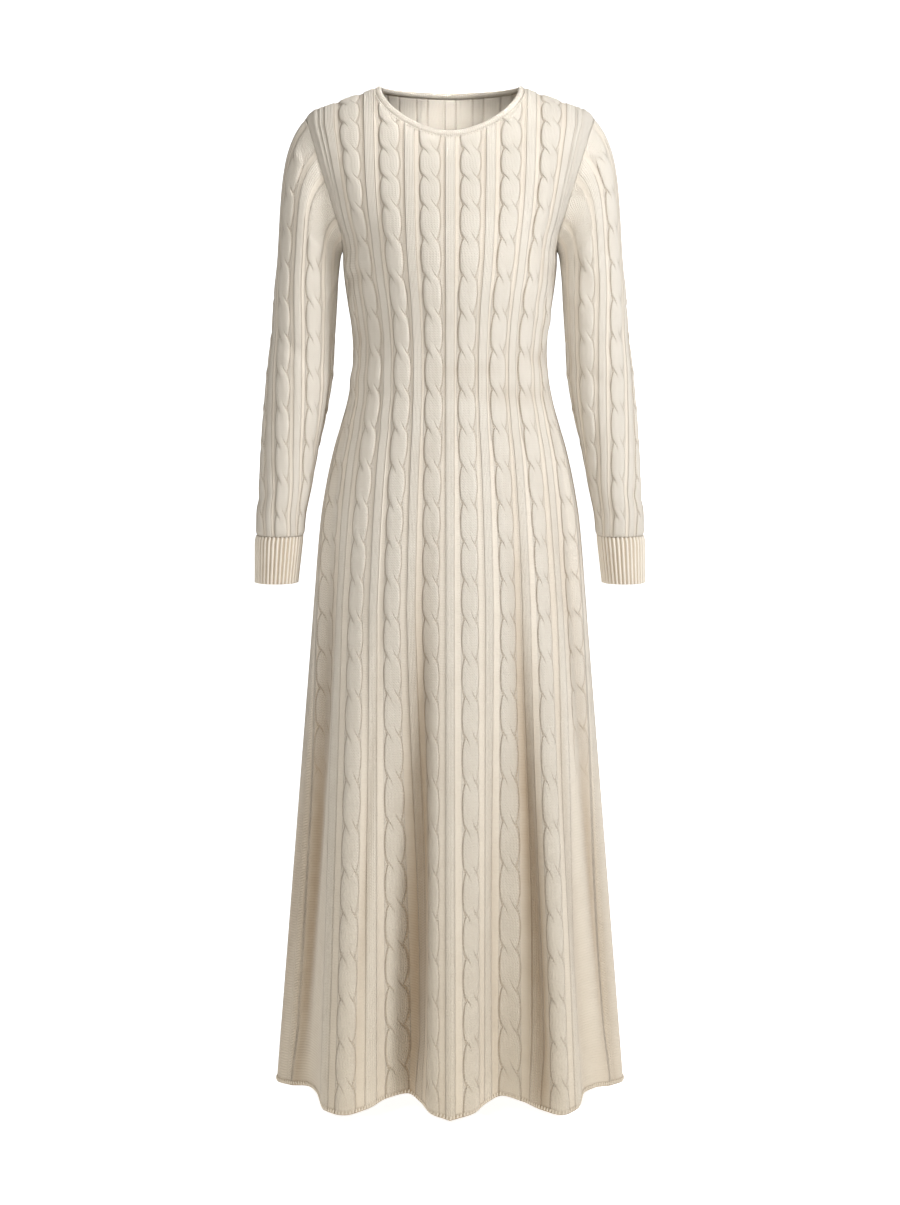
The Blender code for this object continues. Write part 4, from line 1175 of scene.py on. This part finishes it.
def neckband_shell(name, material):
    """A narrow rolled band round the neck."""
    low, high, out = neck_rings()
    low = low + unit(high - low) * SEAM_GAP
    rings = [low + (high - low) * share + out * proud for share, proud in BAND_SECTION]
    shell = Shell()
    shell.fill(lathe(shell, rings, np.arange(len(rings))[:, None] * BAND_COURSES))
    return shell.finish(name, material)


# Nodes


class Value:
    """A shader value. Arithmetic with it adds Math nodes to its tree."""

    def __init__(self, socket):
        self.socket = socket

    def do(self, operation, other=None, swapped=False):
        node = self.socket.id_data.nodes.new("ShaderNodeMath")
        node.operation = operation
        for socket, value in zip(node.inputs, (other, self) if swapped else (self, other)):
            if value is not None:
                feed(socket, value)
        return Value(node.outputs[0])

    def clamped(self):
        self.socket.node.use_clamp = True
        return self

    def __abs__(self):
        return self.do("ABSOLUTE")

    def __add__(self, other):
        return self.do("ADD", other)

    def __sub__(self, other):
        return self.do("SUBTRACT", other)

    def __rsub__(self, other):
        return self.do("SUBTRACT", other, swapped=True)

    def __mul__(self, other):
        return self.do("MULTIPLY", other)

    def __truediv__(self, other):
        return self.do("DIVIDE", other)


def feed(socket, value):
    """Links a Value, a socket or a node's first output to an input, or sets its plain value."""
    if isinstance(value, bpy.types.Node):
        value = value.outputs[0]
    elif isinstance(value, Value):
        value = value.socket
    if isinstance(value, bpy.types.NodeSocket):
        socket.id_data.links.new(value, socket)
    else:
        socket.default_value = value


def add_node(tree, kind, inputs=None, **settings):
    """A node with these settings, and with its inputs fed by name or number."""
    made = tree.nodes.new(kind)
    for key, value in settings.items():
        setattr(made, key, value)
    for key, value in (inputs or {}).items():
        feed(made.inputs[key], value)
    return made


def new_tree(name, inputs):
    """A geometry tree with these inputs after its geometry, and the sockets that give them."""
    tree = bpy.data.node_groups.new(name, "GeometryNodeTree")
    for way in ("INPUT", "OUTPUT"):
        tree.interface.new_socket("Geometry", in_out=way, socket_type="NodeSocketGeometry")
    for title, kind, value in inputs:
        socket = tree.interface.new_socket(title, in_out="INPUT", socket_type="NodeSocket" + kind)
        if value is not None:
            socket.default_value = value
    return tree, tree.nodes.new("NodeGroupInput").outputs


def end_tree(tree, start, shape):
    """Ends a tree with its shape smooth, made real and in the material of its input."""
    smooth_faces = add_node(tree, "GeometryNodeSetShadeSmooth", {"Geometry": shape})
    real = add_node(tree, "GeometryNodeRealizeInstances", {"Geometry": smooth_faces})
    paint = add_node(
        tree, "GeometryNodeSetMaterial", {"Geometry": real, "Material": start["Material"]}
    )
    add_node(tree, "NodeGroupOutput", {"Geometry": paint})
    return tree


def rib_tree():
    """A round cord knitted along every line of the input."""
    tree, start = new_tree("knitted_ribs", (
        ("Rib radius", "Float", 0.0019),
        ("Sides", "Int", RIB_SIDES),
        ("Material", "Material", None),
    ))
    curve = add_node(tree, "GeometryNodeMeshToCurve", {"Mesh": start["Geometry"]})
    circle = add_node(
        tree,
        "GeometryNodeCurvePrimitiveCircle",
        {"Radius": start["Rib radius"], "Resolution": start["Sides"]},
        mode="RADIUS",
    )
    profile = {"Curve": curve, "Profile Curve": circle, "Fill Caps": True}
    return end_tree(tree, start, add_node(tree, "GeometryNodeCurveToMesh", profile))


def stitch_tree():
    """Small slanting stitches laid over an edge at even steps along the input's lines."""
    tree, start = new_tree("edge_stitches", (
        ("Spacing", "Float", 0.005),
        ("Stitch size", "Vector", (0.0017, 0.0012, 0.0034)),
        ("Slant", "Float", 0.35),
        ("Material", "Material", None),
    ))
    curve = add_node(tree, "GeometryNodeMeshToCurve", {"Mesh": start["Geometry"]})
    steps = {"Curve": curve, "Length": start["Spacing"]}
    even = add_node(tree, "GeometryNodeResampleCurve", steps, mode="LENGTH")
    ball = add_node(tree, "GeometryNodeMeshUVSphere", {"Segments": 8, "Rings": 6, "Radius": 1.0})
    tangent = add_node(tree, "GeometryNodeInputTangent")
    aim = add_node(tree, "FunctionNodeAlignRotationToVector", {"Vector": tangent}, axis="X")
    slant = add_node(
        tree, "FunctionNodeAxisAngleToRotation", {"Axis": (0, 1, 0), "Angle": start["Slant"]}
    )
    lean = add_node(
        tree,
        "FunctionNodeRotateRotation",
        {"Rotation": aim, "Rotate By": slant},
        rotation_space="LOCAL",
    )
    place = add_node(tree, "GeometryNodeInstanceOnPoints", {
        "Points": even, "Instance": ball, "Rotation": lean, "Scale": start["Stitch size"]
    })
    return end_tree(tree, start, place)


def grown(guide, tree, name, values):
    """The plain mesh that a tree makes from a guide object, which is then removed."""
    grower = guide.modifiers.new("grow", "NODES")
    grower.node_group = tree
    for item in tree.interface.items_tree:
        if item.name in values:
            grower[item.identifier] = values[item.name]
    bpy.context.view_layer.update()
    seen = guide.evaluated_get(bpy.context.evaluated_depsgraph_get())
    data = bpy.data.meshes.new_from_object(seen)
    data.name = name
    guide.modifiers.remove(grower)
    bpy.data.objects.remove(guide)
    return placed(name, data)


def attribute(tree, title):
    return Value(add_node(tree, "ShaderNodeAttribute", attribute_name=title).outputs["Fac"])


def parts_of(tree, vector):
    return [Value(part) for part in add_node(tree, "ShaderNodeSeparateXYZ", {0: vector}).outputs]


def mixed(tree, factor, first, second, blend="MIX"):
    inputs = {"Factor": factor, "A": first, "B": second}
    made = add_node(tree, "ShaderNodeMix", inputs, data_type="RGBA", blend_type=blend)
    return made.outputs["Result"]


def cable_lines(tree, knit):
    """1 on the creases round the cables' links and where one strand passes over the other: grooves
    for the bump and painted shade for the colour.
    """
    wale, link, _ = parts_of(tree, add_node(tree, "ShaderNodeUVMap", uv_map="wale"))
    half = attribute(tree, "cable")
    least = half.do("MAXIMUM", LEAST_HALF)
    across = (wale.do("FRACT") - 0.5) / least
    past = (link + 0.5).do("FRACT") - 0.5
    beyond = abs(across) - (1.0 - (abs(past) / -PINCH_REACH).do("EXPONENT") * knit.pinch)
    edge = (1.0 - abs(beyond) / LINE_HALF).clamped()
    # Painted shade: stronger on one side, which on the front is the side away from the key light
    edge = edge * (1.0 - LINE_LEAN - across.do("SIGN") * LINE_LEAN)
    turned = past / knit.crossing
    swing = turned.do("TANH") * (OVER_SHIFT / math.tanh(0.5 / knit.crossing))
    hook = (1.0 - abs(abs(across + swing) - OVER_HALF) / LINE_HALF).clamped()
    hook = hook * (turned * turned * -HOOK_FALL).do("EXPONENT") * beyond.do("LESS_THAN", 0.0)
    beside = abs((wale + 0.5).do("FRACT") - 0.5) / least
    ribs = (1.0 - abs(beside - RIB_SHARE) / RIB_LINE_HALF).clamped()
    links = edge.do("MAXIMUM", hook) * half.do("LESS_THAN", MOST_HALF)
    lines = links.do("MAXIMUM", ribs * RIB_LINE)
    return lines * attribute(tree, "strength") * half.do("GREATER_THAN", LEAST_HALF)


# Materials


def principled(name, settings):
    """A new material and its shader, with these inputs."""
    material = bpy.data.materials.new(name)
    material.use_nodes = True
    shader = material.node_tree.nodes["Principled BSDF"]
    for title, value in settings.items():
        shader.inputs[title].default_value = value
    return material, shader


def wool(name, knit, uses_stitches=True, deep=0.0):
    """Knitted wool: stitches and fuzz as bumps, with painted shade in the hollows between the
    cables, in the creases, along the cable lines, between stitches and low on the skirt.
    """
    if name in bpy.data.materials:
        return bpy.data.materials[name]
    material, shader = principled(name, WOOL_SHADER)
    tree = material.node_tree
    where = add_node(tree, "ShaderNodeTexCoord").outputs["Object"]
    mottle, fuzz = (
        Value(add_node(tree, "ShaderNodeTexNoise", {"Vector": where, **looks}).outputs["Fac"])
        for looks in (MOTTLE, FUZZ)
    )
    low = ((LOW_SHADE_TOP - parts_of(tree, where)[2]) / (LOW_SHADE_TOP - HEM)).clamped()
    # Mottle is the wool's own uneven tone; deep adds an even painted shade, used on the cuffs
    dark = (mottle - 0.5) * MOTTLE_SHADE + deep
    height = fuzz * FUZZ_BUMP
    if uses_stitches:
        across, course, _ = parts_of(tree, add_node(tree, "ShaderNodeUVMap", uv_map="knit"))
        purl, hollow = (attribute(tree, title) for title in ("purl", "hollow"))
        leg = abs(across.do("FRACT") - 0.5)
        rounded = (leg * (2 * math.pi)).do("SINE").do("MAXIMUM", 0.0).do("POWER", LEG_ROUNDNESS)
        turn = ((course + leg * LEG_SLANT).do("FRACT") * math.pi).do("SINE")
        bead = abs((course * math.pi).do("SINE"))
        stitch = rounded * (turn * STITCH_DIP + (1 - STITCH_DIP)) * (1.0 - purl)
        stitch = stitch + bead * (purl * PURL_BUMP)
        lines = cable_lines(tree, knit) * (bead * 0.5 + LINE_BASE)
        height = height + stitch * STITCH_BUMP - lines * LINE_BUMP
        # Painted shade: hollows, creases and hem band from the attribute, crease lines round the
        # cables and dips between stitches
        dark = dark + hollow * HOLLOW_SHADE + lines * LINE_SHADE + (1.0 - stitch) * STITCH_SHADE
    tint = mixed(tree, dark.clamped(), knit.colour[:], knit.shade[:])
    # Painted shade: the skirt is multiplied darker towards its hem
    feed(shader.inputs["Base Color"], mixed(tree, low * LOW_SHADE, tint, LOW_SHADE_TONE, "MULTIPLY"))
    bump = add_node(tree, "ShaderNodeBump", {"Height": height, **BUMP})
    feed(shader.inputs["Normal"], bump)
    return material


# Settings


class DressKnit(bpy.types.PropertyGroup):
    strand_height: FloatProperty(
        name="Strand height", description="Height of the strands", default=0.0028, unit="LENGTH"
    )
    crossing_lift: FloatProperty(
        name="Crossing lift", description="Rise over a crossing", default=0.0006, unit="LENGTH"
    )
    crossing: FloatProperty(
        name="Crossing", description="Share of a link over which the strands swap", default=0.20
    )
    pinch: FloatProperty(
        name="Pinch", description="How much narrower a cable is at its crossings", default=0.34
    )
    under_drop: FloatProperty(
        name="Under drop", description="How much lower a strand is below another", default=0.45
    )
    rib_height: FloatProperty(
        name="Rib height", description="Height of the ribs", default=0.0015, unit="LENGTH"
    )
    courses: FloatProperty(name="Courses", description="Rows of stitches in a link", default=15.0)
    colour: FloatVectorProperty(
        name="Wool",
        description="Colour of the wool",
        subtype="COLOR",
        size=4,
        default=(0.80, 0.735, 0.63, 1.0),
    )
    # Painted shade: the colour that hollows, creases, crease lines, stitch dips and the cuffs are
    # darkened towards, and the darker end of the mottle
    shade: FloatVectorProperty(
        name="Hollows",
        description="Colour of the wool deep between the cables",
        subtype="COLOR",
        size=4,
        default=(0.42, 0.32, 0.215, 1.0),
    )


class DressEdges(bpy.types.PropertyGroup):
    hem_spacing: FloatProperty(
        name="Hem spacing", description="Step of the hem stitches", default=0.0046, unit="LENGTH"
    )
    hem_stitch: FloatVectorProperty(
        name="Hem stitch",
        description="Half sizes of a hem stitch",
        size=3,
        unit="LENGTH",
        default=(0.0014, 0.0011, 0.0027),
    )
    neck_spacing: FloatProperty(
        name="Neck spacing", description="Step of the neck stitches", default=0.0042, unit="LENGTH"
    )
    neck_stitch: FloatVectorProperty(
        name="Neck stitch",
        description="Half sizes of a neck seam stitch",
        size=3,
        unit="LENGTH",
        default=(0.0016, 0.0008, 0.0010),
    )
    slant: FloatProperty(
        name="Slant", description="Lean of the hem stitches", default=0.08, subtype="ANGLE"
    )
    rib_radius: FloatProperty(
        name="Cuff rib", description="Radius of a cuff rib", default=0.0016, unit="LENGTH"
    )


class DressStage(bpy.types.PropertyGroup):
    key_power: FloatProperty(
        name="Key", description="Power of the main light", default=79.0, unit="POWER"
    )
    top_power: FloatProperty(
        name="Top", description="Power of the light above", default=12.5, unit="POWER"
    )
    fill_power: FloatProperty(
        name="Fill", description="Power of the fill light", default=28.0, unit="POWER"
    )
    neck_power: FloatProperty(
        name="Neck", description="Power of the light into the neck", default=0.06, unit="POWER"
    )
    sky: FloatProperty(name="Sky", description="Strength of the even light all round", default=0.16)
    paper_glow: FloatProperty(
        name="Paper glow", description="Light given off by the backdrop", default=0.85
    )
    floor_colour: FloatVectorProperty(
        name="Floor",
        description="Colour of the floor and backdrop",
        subtype="COLOR",
        size=4,
        default=(0.93, 0.93, 0.93, 1.0),
    )


# Operators


def settle(made, slot, *nodes):
    """Puts a piece on the body and in place of its nodes; the slot is not used."""
    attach(made, "root")
    if nodes:
        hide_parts(*nodes)


def cloth_wool(knit):
    return wool("cream_wool", knit)


def edge_stitches(name, points, knit, spacing, size, slant):
    """Stitches at even steps round a closed line of points."""
    count = len(points)
    guide = line_object(name + "_line", points, [(k, (k + 1) % count) for k in range(count)])
    stitches = grown(guide, stitch_tree(), name, {
        "Spacing": spacing,
        "Stitch size": size[:],
        "Slant": slant,
        "Material": wool("seam_wool", knit, uses_stitches=False),
    })
    settle(stitches, "knit")
    return stitches


class DRESS_OT_panels(bpy.types.Operator):
    """Knit the front and back panels"""

    bl_idname = "dress.panels"
    bl_label = "Panels"

    def execute(self, context):
        knit = context.scene.dress_knit
        for name, back in (("front", False), ("back", True)):
            made = knitted_panel(name + "_knit", back, knit, cloth_wool(knit))
            settle(made, "knit", name)
        return {"FINISHED"}


class DRESS_OT_sleeves(bpy.types.Operator):
    """Knit both sleeves"""

    bl_idname = "dress.sleeves"
    bl_label = "Sleeves"

    def execute(self, context):
        knit = context.scene.dress_knit
        for side, sign in (("right", -1), ("left", 1)):
            made = knitted_sleeve("sleeve_" + side + "_knit", sign, knit, cloth_wool(knit))
            settle(made, "knit", "sleeve_" + side)
        return {"FINISHED"}


class DRESS_OT_cuffs(bpy.types.Operator):
    """Knit both cuffs and their ribs"""

    bl_idname = "dress.cuffs"
    bl_label = "Cuffs"

    def execute(self, context):
        knit, edges = context.scene.dress_knit, context.scene.dress_edges
        # Painted shade: the tube between the ribs and the ribs themselves are darker copies of the
        # wool
        between = wool("cuff_hollow_wool", knit, uses_stitches=False, deep=CUFF_GAP_SHADE)
        values = {
            "Rib radius": edges.rib_radius,
            "Sides": RIB_SIDES,
            "Material": wool("cuff_wool", knit, uses_stitches=False, deep=CUFF_RIB_SHADE),
        }
        tree = rib_tree()
        for side, sign in (("right", -1), ("left", 1)):
            cuff = "cuff_" + side
            tube = cuff_tube(cuff + "_knit", sign, between)
            ribs = grown(cuff_lines("cuff_lines", sign), tree, cuff + "_ribs", values)
            settle(tube, "cuff_knit", cuff)
            settle(ribs, "cuff_knit")
        return {"FINISHED"}


class DRESS_OT_neckband(bpy.types.Operator):
    """Roll the neckband and link it to the panels"""

    bl_idname = "dress.neckband"
    bl_label = "Neckband"

    def execute(self, context):
        knit, edges = context.scene.dress_knit, context.scene.dress_edges
        band = neckband_shell("neckband_knit", cloth_wool(knit))
        settle(band, "knit", "neckband")
        low, high, out = neck_rings()
        line = low - unit(high - low) * NECK_STITCH_DROP + out * NECK_STITCH_PROUD
        spacing, size = edges.neck_spacing, edges.neck_stitch
        stitches = edge_stitches("neck_stitches", line, knit, spacing, size, 0.0)
        return {"FINISHED"}


class DRESS_OT_hem(bpy.types.Operator):
    """Overcast the hem"""

    bl_idname = "dress.hem"
    bl_label = "Hem"

    def execute(self, context):
        knit, edges = context.scene.dress_knit, context.scene.dress_edges
        wales = np.linspace(-8, 8, HEM_POINTS, endpoint=False)
        level = np.full(HEM_POINTS, HEM + HEM_RISE)
        points = face_points(wales, level)
        points = points + face_normals(wales, level, points) * HEM_PROUD
        spacing, size = edges.hem_spacing, edges.hem_stitch
        edge_stitches("hem_stitches", points, knit, spacing, size, edges.slant)
        return {"FINISHED"}


def lamp(name, place, target, size, power):
    data = bpy.data.lights.new(name, "AREA")
    data.shape = "DISK"
    data.size = size
    data.energy = power
    made = placed(name, data)
    made.location = place
    made.rotation_euler = (Vector(target) - Vector(place)).to_track_quat("-Z", "Y").to_euler()
    return data


def backdrop(look):
    """A floor that curves up into a wall behind."""
    turns = np.linspace(0, math.pi / 2, 17)
    bend = [(WALL_AT + math.sin(a) * BEND, BEND - math.cos(a) * BEND) for a in turns]
    path = FLOOR_PATH + bend + [WALL_TOP]
    points = [(x, y, FLOOR + z) for y, z in path for x in FLOOR_EDGES]
    corners = [4 * k + side for k in range(len(path) - 1) for side in (0, 1, 2)]
    data = bpy.data.meshes.new("backdrop")
    data.from_pydata(points, [], [(n, n + 1, n + 5, n + 4) for n in corners])
    data.shade_smooth()
    paper = {"Base Color": look.floor_colour[:], "Roughness": PAPER_ROUGHNESS}
    glow = {"Emission Color": (1.0, 1.0, 1.0, 1.0), "Emission Strength": look.paper_glow}
    data.materials.append(principled("backdrop_lit_paper", {**paper, **glow})[0])
    data.materials.append(principled("backdrop_paper", paper)[0])
    for face, corner in zip(data.polygons, corners):
        face.material_index = int(corner < 4 or corner % 4 != 1)
    return placed("backdrop", data)


class DRESS_OT_stage(bpy.types.Operator):
    """Set the floor, backdrop, lights and camera"""

    bl_idname = "dress.stage"
    bl_label = "Stage"

    def execute(self, context):
        scene, look = context.scene, context.scene.dress_stage
        backdrop(look)
        lights = {
            name: lamp(name + "_light", *how, getattr(look, name + "_power"))
            for name, how in LIGHTS.items()
        }
        lights["key"].color = KEY_COLOUR
        lights["neck"].spread = math.radians(NECK_SPREAD)
        scene.world = bpy.data.worlds.new("studio")
        scene.world.use_nodes = True
        shown = scene.world.node_tree.nodes["Background"]
        shown.inputs["Color"].default_value = SKY_COLOUR
        shown.inputs["Strength"].default_value = look.sky
        scene.view_settings.view_transform = "Standard"
        data = bpy.data.cameras.new("camera")
        data.sensor_width = SENSOR
        data.lens = LENS
        camera = placed("camera", data)
        camera.location = CAMERA_PLACE
        camera.rotation_euler = (math.radians(90 - CAMERA_PITCH), 0, 0)
        scene.camera = camera
        return {"FINISHED"}


class DRESS_PT_panel(bpy.types.Panel):
    bl_label = "Dress"
    bl_space_type = "VIEW_3D"
    bl_region_type = "UI"
    bl_category = "Dress"

    def draw(self, context):
        scene = context.scene
        for group in (scene.dress_knit, scene.dress_edges, scene.dress_stage):
            box = self.layout.box()
            for name in group.bl_rna.properties.keys():
                if name not in {"rna_type", "name"}:
                    box.prop(group, name)
        for step in OPERATORS:
            self.layout.operator(step.bl_idname)


GROUPS = (("dress_knit", DressKnit), ("dress_edges", DressEdges), ("dress_stage", DressStage))
OPERATORS = (
    DRESS_OT_panels,
    DRESS_OT_sleeves,
    DRESS_OT_cuffs,
    DRESS_OT_neckband,
    DRESS_OT_hem,
    DRESS_OT_stage,
)


def register():
    for name, group in GROUPS:
        bpy.utils.register_class(group)
        setattr(bpy.types.Scene, name, PointerProperty(type=group))
    for made in (*OPERATORS, DRESS_PT_panel):
        bpy.utils.register_class(made)


def unregister():
    for made in (DRESS_PT_panel, *OPERATORS[::-1]):
        bpy.utils.unregister_class(made)
    for name, group in GROUPS[::-1]:
        delattr(bpy.types.Scene, name)
        bpy.utils.unregister_class(group)


def main():
    register()
    bpy.ops.dress.panels()
    bpy.ops.dress.sleeves()
    bpy.ops.dress.cuffs()
    bpy.ops.dress.neckband()
    bpy.ops.dress.hem()
    bpy.ops.dress.stage()


if __name__ == "__main__":
    main()
